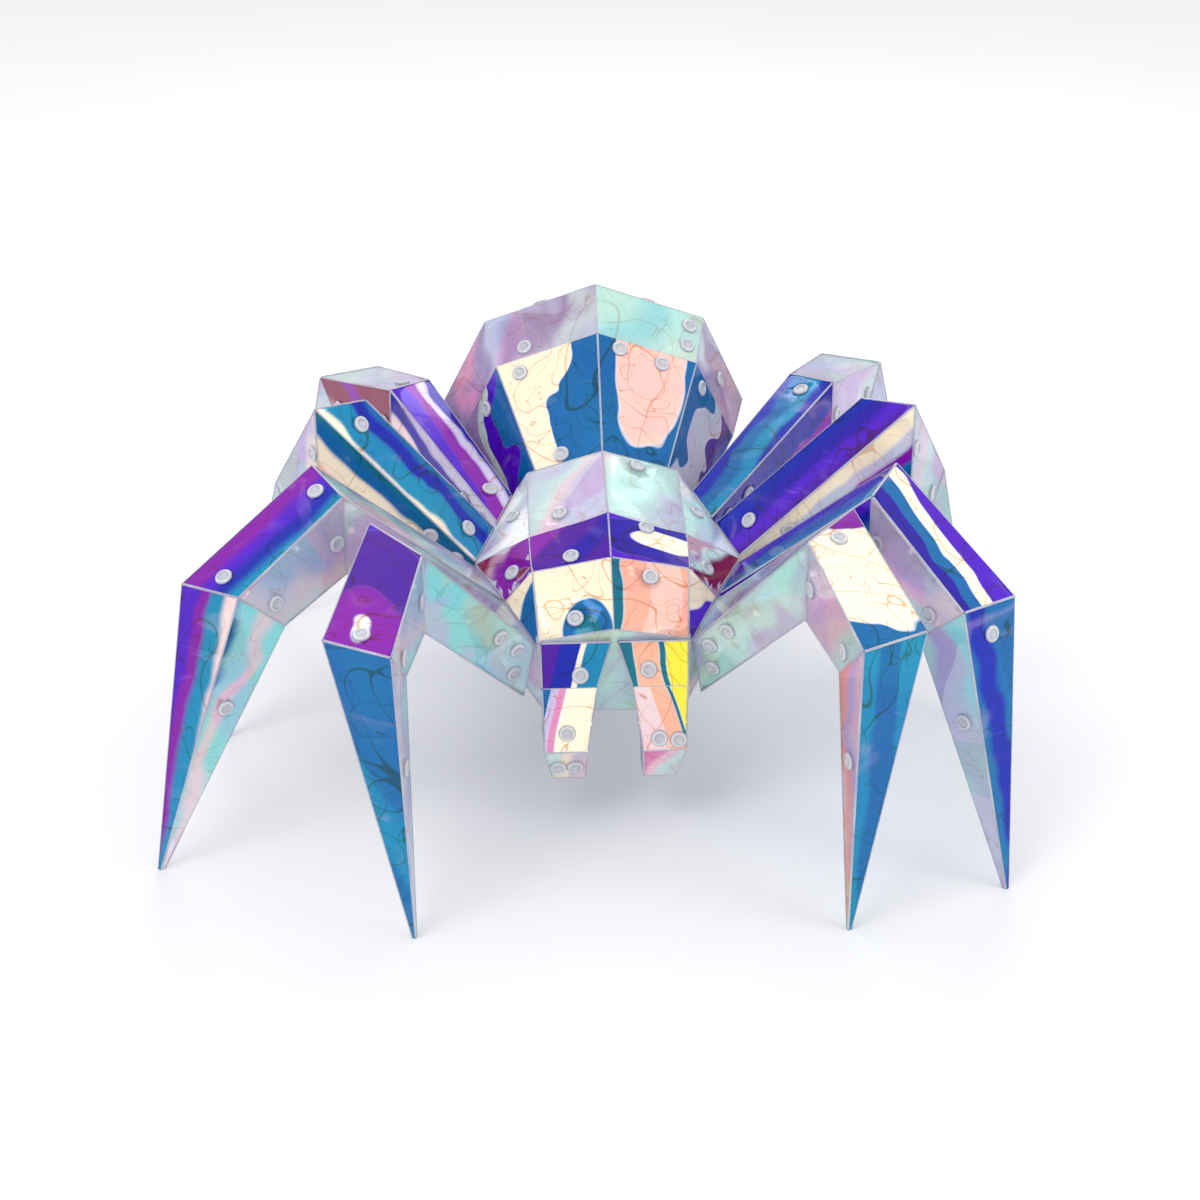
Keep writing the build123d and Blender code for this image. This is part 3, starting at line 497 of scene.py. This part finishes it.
def make_sheet(node):
    """Visible copy of a folded sheet with each panel's film on it, and its outer fold lines."""
    bm = mesh_of(node)
    groups, owner = flood(bm, SHALLOW_FOLD_ANGLE if node in SHALLOW_SHEETS else FOLD_ANGLE)
    panels = [Panel(bm, group) for group in groups]
    mark_inner(node, [p for p in panels if not p.small])
    mesh = bpy.data.meshes.new(f"{node}_film")
    values_of_corners = corner_values(bm, owner, describe(node, panels))
    bm.to_mesh(mesh)
    for name, kind, values in values_of_corners:
        layer = mesh.attributes.new(name, kind, "CORNER")
        layer.data.foreach_set(FIELDS[kind], values.ravel())
    mesh.materials.append(FILM)
    add_piece(f"{node}_film", mesh, node)
    folds[frame["nodes"][node]["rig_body"]] += outer_folds(bm, panels, owner)
    bm.free()


def hole_edge(edge, panel):
    """True if an edge lies well inside its panel's outline, as a rivet hole's does."""
    mid = (edge.verts[0].co + edge.verts[1].co) / 2
    ring = panel.corners
    reach = []
    for a, b in zip(ring, ring[1:] + ring[:1]):
        d = b - a
        t = max(0, min(1, (mid - a).dot(d) / d.length_squared))
        reach.append((mid - (a + d * t)).length)
    return min(reach) > HOLE_INSET


def make_folds(body, lines):
    """Frosted fold lines of one body, as slim rounded bars along the folds."""
    bm = bmesh.new()
    for a, b, normal in lines:
        run = (b - a).normalized()
        side = run.cross(normal).normalized()
        lift = side.cross(run).normalized()
        sink = lift * FOLD_SINK
        a, b = a + run * FOLD_TRIM - sink, b - run * FOLD_TRIM - sink
        rings = []
        for end in (a, b):
            ring = []
            for k in range(FOLD_SIDES):
                t = math.radians(360 / FOLD_SIDES * (k + 0.5))
                offset = side * (math.cos(t) * FOLD_HALF_WIDTH) + lift * (math.sin(t) * FOLD_HALF_HEIGHT)
                kept = [min(max(c, least), most) for c, least, most in zip(end + offset, cad_low, cad_high)]
                ring.append(bm.verts.new(kept))
            rings.append(ring)
        for k in range(FOLD_SIDES):
            after = (k + 1) % FOLD_SIDES
            bm.faces.new((rings[0][k], rings[0][after], rings[1][after], rings[1][k]))
        bm.faces.new(rings[0][::-1])
        bm.faces.new(rings[1])
    bmesh.ops.recalc_face_normals(bm, faces=bm.faces)
    mesh = bpy.data.meshes.new(f"{body}_folds")
    bm.to_mesh(mesh)
    bm.free()
    mesh.materials.append(FOLD)
    piece = bpy.data.objects.new(f"{body}_folds", mesh)
    bpy.context.scene.collection.objects.link(piece)
    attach(piece, body)


# ---- materials ----------------------------------------------------------------------------
class Tree:
    """Small helper for building a material's nodes."""

    def __init__(self, name):
        self.material = bpy.data.materials.new(name)
        self.material.use_nodes = True
        self.nodes = self.material.node_tree.nodes
        self.links = self.material.node_tree.links
        self.nodes.clear()
        self.out = self.nodes.new("ShaderNodeOutputMaterial")
        self.place = self.nodes.new("ShaderNodeTexCoord").outputs["Object"]

    def put(self, socket, value):
        """Links a socket or sets its value."""
        if isinstance(value, bpy.types.NodeSocket):
            self.links.new(value, socket)
        else:
            socket.default_value = value

    def math(self, operation, a, b=0.0):
        node = self.nodes.new("ShaderNodeMath")
        node.operation = operation
        self.put(node.inputs[0], a)
        self.put(node.inputs[1], b)
        return node.outputs[0]

    def noise(self, scale, detail=2.0, rough=0.5, distort=0.0, stretch=(1, 1, 1)):
        node = self.nodes.new("ShaderNodeTexNoise")
        mapping = self.nodes.new("ShaderNodeMapping")
        mapping.inputs["Scale"].default_value = stretch
        self.links.new(self.place, mapping.inputs["Vector"])
        self.links.new(mapping.outputs[0], node.inputs["Vector"])
        for name, value in (("Scale", scale), ("Detail", detail), ("Roughness", rough),
                            ("Distortion", distort)):
            node.inputs[name].default_value = value
        return node.outputs["Fac"]

    def shifted(self, amount):
        """Places pushed about by slow noise."""
        push = self.nodes.new("ShaderNodeTexNoise")
        push.inputs["Scale"].default_value = 9
        push.inputs["Detail"].default_value = 1
        self.links.new(self.place, push.inputs["Vector"])
        add = self.nodes.new("ShaderNodeVectorMath")
        add.operation = "MULTIPLY_ADD"
        self.links.new(push.outputs["Color"], add.inputs[0])
        add.inputs[1].default_value = (amount, amount, amount)
        self.links.new(self.place, add.inputs[2])
        return add.outputs[0]

    def spread(self, value, low, high, to_low=0.0, to_high=1.0):
        """Smooth step of a value from one range into another."""
        node = self.nodes.new("ShaderNodeMapRange")
        node.interpolation_type = "SMOOTHSTEP"
        for name, v in (("Value", value), ("From Min", low), ("From Max", high), ("To Min", to_low),
                        ("To Max", to_high)):
            self.put(node.inputs[name], v)
        return node.outputs[0]

    def mix(self, share, a, b, mode="MIX"):
        node = self.nodes.new("ShaderNodeMix")
        node.data_type = "RGBA"
        node.blend_type = mode
        self.put(node.inputs[0], share)
        self.put(node.inputs[6], a)
        self.put(node.inputs[7], b)
        return node.outputs[2]

    def attribute(self, name):
        node = self.nodes.new("ShaderNodeAttribute")
        node.attribute_name = name
        return node

    def parts(self, vector):
        node = self.nodes.new("ShaderNodeSeparateXYZ")
        self.links.new(vector, node.inputs[0])
        return node.outputs

    def bump(self, height, strength, distance):
        node = self.nodes.new("ShaderNodeBump")
        node.inputs["Strength"].default_value = strength
        node.inputs["Distance"].default_value = distance
        self.links.new(height, node.inputs["Height"])
        return node.outputs[0]

    def principled(self, **values):
        node = self.nodes.new("ShaderNodeBsdfPrincipled")
        for name, value in values.items():
            self.put(node.inputs[name.replace("_", " ")], value)
        return node.outputs[0]

    def see_through(self, colour, shader, dense):
        """The shader over a tinted see-through one."""
        clear = self.nodes.new("ShaderNodeBsdfTransparent")
        self.put(clear.inputs[0], colour)
        blend = self.nodes.new("ShaderNodeMixShader")
        self.put(blend.inputs[0], dense)
        self.links.new(clear.outputs[0], blend.inputs[1])
        self.links.new(shader, blend.inputs[2])
        return blend.outputs[0]

    def finish(self, shader):
        self.links.new(shader, self.out.inputs[0])
        return self.material


SLOW_SWING, FINE_SWING = 3.8, 0.35  # how far the two noises push the film's borders
DISH_EDGE, BAND_EDGE = 0.0032, 0.0058  # radii where a rivet's head bends light most


def film_place(t, wave):
    """How far a point is through its panel's colours: along its bands or out from its pool."""
    slow = t.noise(17, 1.0, 0.4, 0.9)
    fine = t.noise(34, 1.0, 0.4, 0.3)
    swing = t.math("ADD", t.math("MULTIPLY", t.math("SUBTRACT", slow, 0.5), SLOW_SWING),
                   t.math("MULTIPLY", t.math("SUBTRACT", fine, 0.5), FINE_SWING))
    x, y, round_share = t.parts(t.attribute("pool").outputs["Vector"])
    reach = t.math("SQRT", t.math("ADD", t.math("MULTIPLY", x, x), t.math("MULTIPLY", y, y)))
    straight = t.math("MULTIPLY", t.attribute("across").outputs["Fac"],
                      t.math("SUBTRACT", 1.0, round_share))
    place = t.math("ADD", straight, t.math("MULTIPLY", reach, round_share))
    return t.math("ADD", place, t.math("MULTIPLY", swing, wave))


def film_bands(t, place, soft):
    """The panel's four colours, one after the other, with pale lines at sharp borders."""
    tones = [t.attribute(f"tone_{k}").outputs["Color"] for k in range(4)]
    stops = t.parts(t.attribute("stops").outputs["Vector"])
    colour, border = tones[0], 0.0
    for k in range(3):
        away = t.math("SUBTRACT", place, stops[k])
        share = t.spread(away, t.math("MULTIPLY", soft, -1.0), soft)
        colour = t.mix(share, colour, tones[k + 1])
        apart = t.nodes.new("ShaderNodeVectorMath")
        apart.operation = "DISTANCE"
        t.links.new(tones[k], apart.inputs[0])
        t.links.new(tones[k + 1], apart.inputs[1])
        line = t.spread(t.math("ABSOLUTE", away), 0.003, 0.016, 1.0, 0.0)
        line = t.math("MULTIPLY", line, t.spread(apart.outputs["Value"], 0.1, 0.6))
        border = t.math("MAXIMUM", border, line)
    sharp = t.spread(soft, 0.035, 0.06, 1.0, 0.0)
    return t.mix(t.math("MULTIPLY", t.math("MULTIPLY", border, sharp), 0.5), colour, (0.8, 0.84, 0.9, 1))


def film_drift(t, colour):
    """The colour with the film's own drift of hue, in broad soft patches and in streaks."""
    drift = t.spread(t.noise(9, 2.0, 0.55, 1.2), 0.35, 0.65)
    tint = t.mix(drift, (0.75, 0.55, 1.0, 1), (0.62, 1.0, 0.9, 1))
    colour = t.mix(0.22, colour, tint, "SOFT_LIGHT")
    streak = t.spread(t.noise(15, 2.0, 0.6, 1.5, (1, 1, 2)), 0.58, 0.78)
    return t.mix(t.math("MULTIPLY", streak, 0.12), colour, (1.0, 0.62, 0.78, 1), "SCREEN")


def film_shards(t, colour, dense):
    """The colour with sharp-edged pieces of other panels, as seen through a pale panel."""
    shard = t.nodes.new("ShaderNodeTexVoronoi")
    shard.inputs["Scale"].default_value = 17
    t.links.new(t.shifted(0.05), shard.inputs["Vector"])
    red, green, blue = t.parts(shard.outputs["Color"])
    pale = t.spread(dense, 0.5, 0.9, 0.55, 0.08)
    for channel, low, high, cast in ((red, 0.4, 0.6, (1.0, 0.66, 0.84, 1)),
                                     (green, 0.45, 0.65, (0.5, 1.0, 0.82, 1)),
                                     (blue, 0.6, 0.7, (0.35, 0.4, 0.75, 1))):
        share = t.math("MULTIPLY", pale, t.spread(channel, low, high))
        colour = t.mix(share, colour, cast, "SOFT_LIGHT")
    return colour


def film_wires(t, colour, dense):
    """The colour with the wires behind the film, which it blurs into long thin loops."""
    wires = 0.0
    for scale, level, twist in ((13, 0.5, 1.2), (19, 0.5, 1.8), (27, 0.51, 2.4)):
        loop = t.math("ABSOLUTE", t.math("SUBTRACT", t.noise(scale, 0.0, 0.4, twist), level))
        wires = t.math("MAXIMUM", wires, t.spread(loop, 0.003, 0.009, 1.0, 0.0))
    seen = t.math("MULTIPLY", wires, t.spread(dense, 0.6, 0.9, 0.3, 0.8))
    return t.mix(seen, colour, (0.75, 0.42, 0.22, 1), "MULTIPLY")


def make_film():
    """Iridescent film: wavy bands of colour, the pale ones partly painted reflection, pale borders, faint
    streaks, shards, wires and a faint painted glow.
    """
    t = Tree("film")
    wave, dense, soft = t.parts(t.attribute("feel").outputs["Vector"])
    colour = film_bands(t, film_place(t, wave), soft)
    colour = film_drift(t, colour)
    colour = film_shards(t, colour, dense)
    colour = film_wires(t, colour, dense)
    grain = t.noise(900, 2.0, 0.6)
    scratch = t.noise(240, 2.0, 0.7, 0.0, (1, 6, 1))
    height = t.math("ADD", t.noise(30, 1.0, 0.4), t.math("MULTIPLY", scratch, 0.02))
    shader = t.principled(
        Base_Color=colour,
        Metallic=0.25,
        Roughness=t.spread(grain, 0.3, 0.8, 0.12, 0.22),
        IOR=1.5,
        Specular_IOR_Level=0.2,
        Coat_Weight=0.6,
        Coat_IOR=1.38,
        Coat_Roughness=0.03,
        # Emission: painted glow in the film's own colour for a luminous look; the film is no lamp.
        Emission_Color=colour,
        Emission_Strength=0.15,
        Normal=t.bump(height, 0.35, 0.004),
    )
    clear = t.mix(0.45, colour, (1, 1, 1, 1))
    return t.finish(t.see_through(clear, shader, dense))


def make_fold():
    """Frosted fold: whitened sheet with a faint lilac cast and fine grain."""
    t = Tree("fold")
    cast = t.spread(t.noise(30, 2.0), 0.35, 0.65)
    colour = t.mix(cast, (0.4, 0.35, 0.46, 1), (0.52, 0.55, 0.58, 1))
    grain = t.noise(700, 3.0, 0.6)
    colour = t.mix(t.math("MULTIPLY", grain, 0.3), colour, (0.8, 0.8, 0.84, 1))
    shader = t.principled(Base_Color=colour, Roughness=t.spread(grain, 0.3, 0.7, 0.3, 0.5), IOR=1.5,
                          Coat_Weight=0.3, Normal=t.bump(grain, 0.3, 0.0003))
    return t.finish(t.see_through((0.95, 0.95, 1, 1), shader, t.spread(grain, 0.2, 0.8, 0.75, 0.92)))


def make_rivet():
    """Clear moulded plastic: see-through dish, brighter rim, darker rings where it bends light."""
    t = Tree("rivet")
    radius = t.attribute("radius").outputs["Fac"]
    flow = t.spread(t.noise(220, 2.0, 0.5, 0.8), 0.3, 0.7)
    colour = t.mix(flow, (0.78, 0.79, 0.84, 1), (0.93, 0.95, 0.94, 1))
    rings = 0.0
    for at, wide in ((BAND_EDGE, 0.0006), (DISH_EDGE, 0.0004)):
        away = t.math("ABSOLUTE", t.math("SUBTRACT", radius, at))
        rings = t.math("MAXIMUM", rings, t.spread(away, wide * 0.4, wide, 1.0, 0.0))
    colour = t.mix(t.math("MULTIPLY", rings, 0.7), colour, (0.3, 0.27, 0.38, 1))
    shader = t.principled(Base_Color=colour, Roughness=t.spread(flow, 0, 1, 0.04, 0.1), IOR=1.5,
                          Coat_Weight=1.0, Coat_Roughness=0.02, Normal=t.bump(flow, 0.1, 0.0003))
    face = t.spread(radius, DISH_EDGE, 0.0042, 0.52, 0.6)
    dense = t.math("MAXIMUM", face, t.math("MULTIPLY", rings, 0.8))
    return t.finish(t.see_through((0.93, 0.95, 0.97, 1), shader, dense))


def make_wire():
    """Enamelled copper wire with small tint changes along it."""
    t = Tree("wire")
    colour = t.mix(t.spread(t.noise(80, 2.0), 0.35, 0.65), (0.52, 0.26, 0.07, 1), (0.72, 0.42, 0.13, 1))
    twist = t.noise(600, 1.0, 0.5, 0.0, (1, 1, 3))
    return t.finish(t.principled(Base_Color=colour, Metallic=0.75,
                                 Roughness=t.spread(twist, 0, 1, 0.25, 0.42),
                                 Coat_Weight=0.5, Normal=t.bump(twist, 0.4, 0.0003)))


def make_bead():
    """Warm lamp bead in clear resin."""
    t = Tree("bead")
    core = t.spread(t.noise(500, 1.0), 0.3, 0.7)
    colour = t.mix(core, (1.0, 0.8, 0.5, 1), (1.0, 0.93, 0.75, 1))
    return t.finish(t.principled(Base_Color=colour, Roughness=t.spread(core, 0, 1, 0.08, 0.16), IOR=1.5,
                                 Coat_Weight=1.0, Emission_Color=colour, Emission_Strength=0.9))


def make_moulded(name, dark, light, rough):
    """Moulded plastic or plated metal with grain; dark and light are its colour's limits."""
    t = Tree(name)
    grain = t.noise(1100, 3.0, 0.6)
    cloud = t.spread(t.noise(18, 2.0), 0.35, 0.65)
    colour = t.mix(cloud, dark, light)
    metal = 0.9 if name == "contact" else 0.0
    return t.finish(t.principled(Base_Color=colour, Metallic=metal,
                                 Roughness=t.spread(grain, 0.3, 0.7, rough, rough + 0.15),
                                 Normal=t.bump(grain, 0.35, 0.0002)))


FILM, FOLD, RIVET = make_film(), make_fold(), make_rivet()
WIRE, BEAD = make_wire(), make_bead()
BOX = make_moulded("box", (0.018, 0.018, 0.02, 1), (0.03, 0.03, 0.034, 1), 0.4)
CELL = make_moulded("cell", (0.02, 0.02, 0.03, 1), (0.035, 0.035, 0.05, 1), 0.18)
CONTACT = make_moulded("contact", (0.6, 0.6, 0.58, 1), (0.72, 0.72, 0.7, 1), 0.25)
SWITCH = make_moulded("switch", (0.05, 0.05, 0.055, 1), (0.08, 0.08, 0.085, 1), 0.35)

# ---- pieces -------------------------------------------------------------------------------
folds = defaultdict(list)
for node in SHEETS:
    make_sheet(node)
for body, lines in folds.items():
    make_folds(body, lines)

for node, material in (("battery_box", BOX), ("battery_lid", BOX), ("battery_cells", CELL),
                       ("battery_contacts", CONTACT), ("power_switch", SWITCH)):
    frame["nodes"][node].data.materials.clear()
    frame["nodes"][node].data.materials.append(material)


def islands(mesh):
    """Island number of each vertex of a mesh."""
    ends = np.zeros(len(mesh.edges) * 2, np.int64)
    mesh.edges.foreach_get("vertices", ends)
    a, b = ends[0::2], ends[1::2]
    label = np.arange(len(mesh.vertices))
    while True:
        low_end = np.minimum(label[a], label[b])
        new = label.copy()
        np.minimum.at(new, a, low_end)
        np.minimum.at(new, b, low_end)
        new = new[new]
        if (new == label).all():
            return label
        label = new


def welded(node):
    """Mesh of a CAD node with its shared corners joined."""
    bm = mesh_of(node)
    mesh = bpy.data.meshes.new(f"{node}_welded")
    bm.to_mesh(mesh)
    bm.free()
    return mesh


# Section of a snap rivet from the dish's middle over the head to the cap, as radius and height
# from the head's top, in millimetres.
RIVET_SECTION = (
    (0, -0.9), (2.5, -0.9), (2.75, -0.82), (3.3, -0.18), (3.6, 0.0), (4.2, -0.04), (5.0, -0.26),
    (5.6, -0.66), (5.92, -1.15), (6.0, -1.5), (5.9, -1.68), (5.7, -1.7), (2.4, -1.7), (2.4, -3.1),
    (4.3, -3.1), (4.5, -3.3), (4.4, -3.8), (4.1, -4.25), (3.9, -4.3), (0, -4.3),
)
RIVET_TURNS = 40
PAIR_REACH = 0.008  # faces further than this from their middle belong to two rivets
CAP_REACH = 0.0047  # only a rivet's head is wider than this


def axis_of(normals, middles, areas):
    """Middle and axis of a solid of revolution with broad ends, from its faces."""
    centre = (middles * areas).sum(0) / areas.sum()
    return centre, np.linalg.eigh((normals * areas).T @ normals)[1][:, 2]


def make_rivets(node):
    """Smooth rivets in the places of a CAD node's rivets."""
    mesh = welded(node)
    label = islands(mesh)
    count = len(mesh.polygons)
    normals, middles, areas = (np.zeros(count * size, np.float32) for size in (3, 3, 1))
    starts, corners = np.zeros(count, np.int32), np.zeros(len(mesh.loops), np.int32)
    mesh.polygons.foreach_get("normal", normals)
    mesh.polygons.foreach_get("center", middles)
    mesh.polygons.foreach_get("area", areas)
    mesh.polygons.foreach_get("loop_start", starts)
    mesh.loops.foreach_get("vertex_index", corners)
    normals, middles, areas = (table.reshape(count, -1).astype(float) for table in (normals, middles, areas))
    face_label = label[corners[starts]]
    bpy.data.meshes.remove(mesh)
    sets = []
    for island in np.unique(face_label):
        own = np.flatnonzero(face_label == island)
        away = middles[own] - middles[own].mean(0)
        if np.linalg.norm(away, axis=1).max() < PAIR_REACH:
            sets.append(own)
            continue
        half = away @ np.linalg.eigh(away.T @ away)[1][:, 2] > 0  # two rivets whose heads touch
        sets += [own[half], own[~half]]
    bm = bmesh.new()
    radius_layer = bm.verts.layers.float.new("radius")
    for own in sets:
        centre, axis = axis_of(normals[own], middles[own], areas[own])
        height = (middles[own] - centre) @ axis
        wide = np.linalg.norm(middles[own] - centre - height[:, None] * axis, axis=1)
        if height[wide > CAP_REACH].mean() < (height.min() + height.max()) / 2:
            axis, height = -axis, -height
        top = Vector(centre + axis * height.max())
        up = Vector(axis).normalized()
        side = up.orthogonal().normalized()
        other = up.cross(side)
        rings = []
        for r, z in RIVET_SECTION:
            turns = 1 if r == 0 else RIVET_TURNS
            ring = []
            for k in range(turns):
                t = 2 * math.pi * k / RIVET_TURNS
                out = (side * math.cos(t) + other * math.sin(t)) * (r / 1000)
                vert = bm.verts.new(top + up * (z / 1000) + out)
                vert[radius_layer] = r / 1000
                ring.append(vert)
            rings.append(ring)
        for low_ring, high_ring in zip(rings, rings[1:]):
            for k in range(RIVET_TURNS):
                a, b = low_ring[k % len(low_ring)], low_ring[(k + 1) % len(low_ring)]
                c, d = high_ring[(k + 1) % len(high_ring)], high_ring[k % len(high_ring)]
                bm.faces.new(list(dict.fromkeys((a, b, c, d))))
    bmesh.ops.recalc_face_normals(bm, faces=bm.faces)
    for face in bm.faces:
        face.smooth = True
    made = bpy.data.meshes.new(node + "_clear")
    bm.to_mesh(made)
    bm.free()
    made.materials.append(RIVET)
    add_piece(f"{node}_clear", made, node)


BEAD_RADIUS = 0.0022
BEAD_CELL = 0.001  # a bead's faces, moved in by its radius, meet in one cell of this size
BEAD_SHARE = 0.4  # of the fullest cell; a cell of wire faces holds fewer


def make_string(node):
    """Visible copy of a light string, with its lamp beads told from its wire."""
    mesh = welded(node)
    count = len(mesh.polygons)
    centres, normals = (np.zeros(count * 3, np.float32) for _ in range(2))
    mesh.polygons.foreach_get("center", centres)
    mesh.polygons.foreach_get("normal", normals)
    guess = centres.reshape(-1, 3) - normals.reshape(-1, 3) * BEAD_RADIUS
    most = np.zeros(count, int)
    for shift in (0.0, BEAD_CELL / 2):
        cells = np.floor((guess + shift) / BEAD_CELL).astype(np.int64)
        _, which, counts = np.unique(cells, axis=0, return_inverse=True, return_counts=True)
        most = np.maximum(most, counts[which.ravel()])
    bead = (most > BEAD_SHARE * most.max()).astype(np.int32)
    mesh.polygons.foreach_set("material_index", bead)
    mesh.polygons.foreach_set("use_smooth", np.ones(count, bool))
    mesh.materials.append(WIRE)
    mesh.materials.append(BEAD)
    mesh.update()
    add_piece(f"{node}_wire", mesh, node)


for node in list(frame["nodes"]):
    if node.endswith("rivets"):
        make_rivets(node)
    if node.endswith("light_string"):
        make_string(node)

# ---- floor, light and camera --------------------------------------------------------------
floor_mesh = bpy.data.meshes.new("floor")
HALF = 12.0
floor_mesh.from_pydata([(-HALF, -HALF, 0), (HALF, -HALF, 0), (HALF, HALF, 0), (-HALF, HALF, 0)],
                       [], [(0, 1, 2, 3)])
floor = bpy.data.objects.new("floor", floor_mesh)
bpy.context.scene.collection.objects.link(floor)
paper = Tree("paper")
floor_mesh.materials.append(paper.finish(paper.principled(
    Base_Color=paper.mix(paper.spread(paper.noise(3, 2.0), 0.3, 0.7),
                         (0.885, 0.885, 0.89, 1), (0.895, 0.895, 0.895, 1)),
    Roughness=0.7)))

world = bpy.data.worlds.new("studio")
world.use_nodes = True
world.node_tree.nodes["Background"].inputs[0].default_value = (0.98, 0.985, 1.0, 1)
world.node_tree.nodes["Background"].inputs[1].default_value = 0.97
bpy.context.scene.world = world


def softbox(name, place, target, size, power, colour=(1, 1, 1)):
    """Rectangular studio light that looks at a target."""
    data = bpy.data.lights.new(name, "AREA")
    data.shape = "RECTANGLE"
    data.size, data.size_y = size
    data.energy = power
    data.color = colour
    lamp = bpy.data.objects.new(name, data)
    lamp.location = place
    lamp.rotation_euler = (Vector(target) - Vector(place)).to_track_quat("-Z", "Y").to_euler()
    bpy.context.scene.collection.objects.link(lamp)


CENTRE = (cad_low + cad_high) / 2
softbox("key", (-0.9, -1.1, 1.7), CENTRE, (1.0, 1.0), 10)
softbox("fill", (1.4, -0.9, 1.0), CENTRE, (0.8, 1.2), 5, (0.95, 0.98, 1.0))
softbox("back", (0.2, 1.6, 1.3), CENTRE, (1.4, 0.6), 6.5)

AZIMUTH, ELEVATION, DISTANCE = math.radians(-3), math.radians(26), 1.85
TARGET = Vector((0.0099, -0.0334, 0.129))
camera_data = bpy.data.cameras.new("camera")
camera_data.lens, camera_data.sensor_width = 78, 36
camera = bpy.data.objects.new("camera", camera_data)
camera.location = TARGET + DISTANCE * Vector((
    math.sin(AZIMUTH) * math.cos(ELEVATION), -math.cos(AZIMUTH) * math.cos(ELEVATION), math.sin(ELEVATION)))
camera.rotation_euler = (TARGET - camera.location).to_track_quat("-Z", "Y").to_euler()
bpy.context.scene.collection.objects.link(camera)
bpy.context.scene.camera = camera
bpy.context.scene.view_settings.view_transform = "Standard"
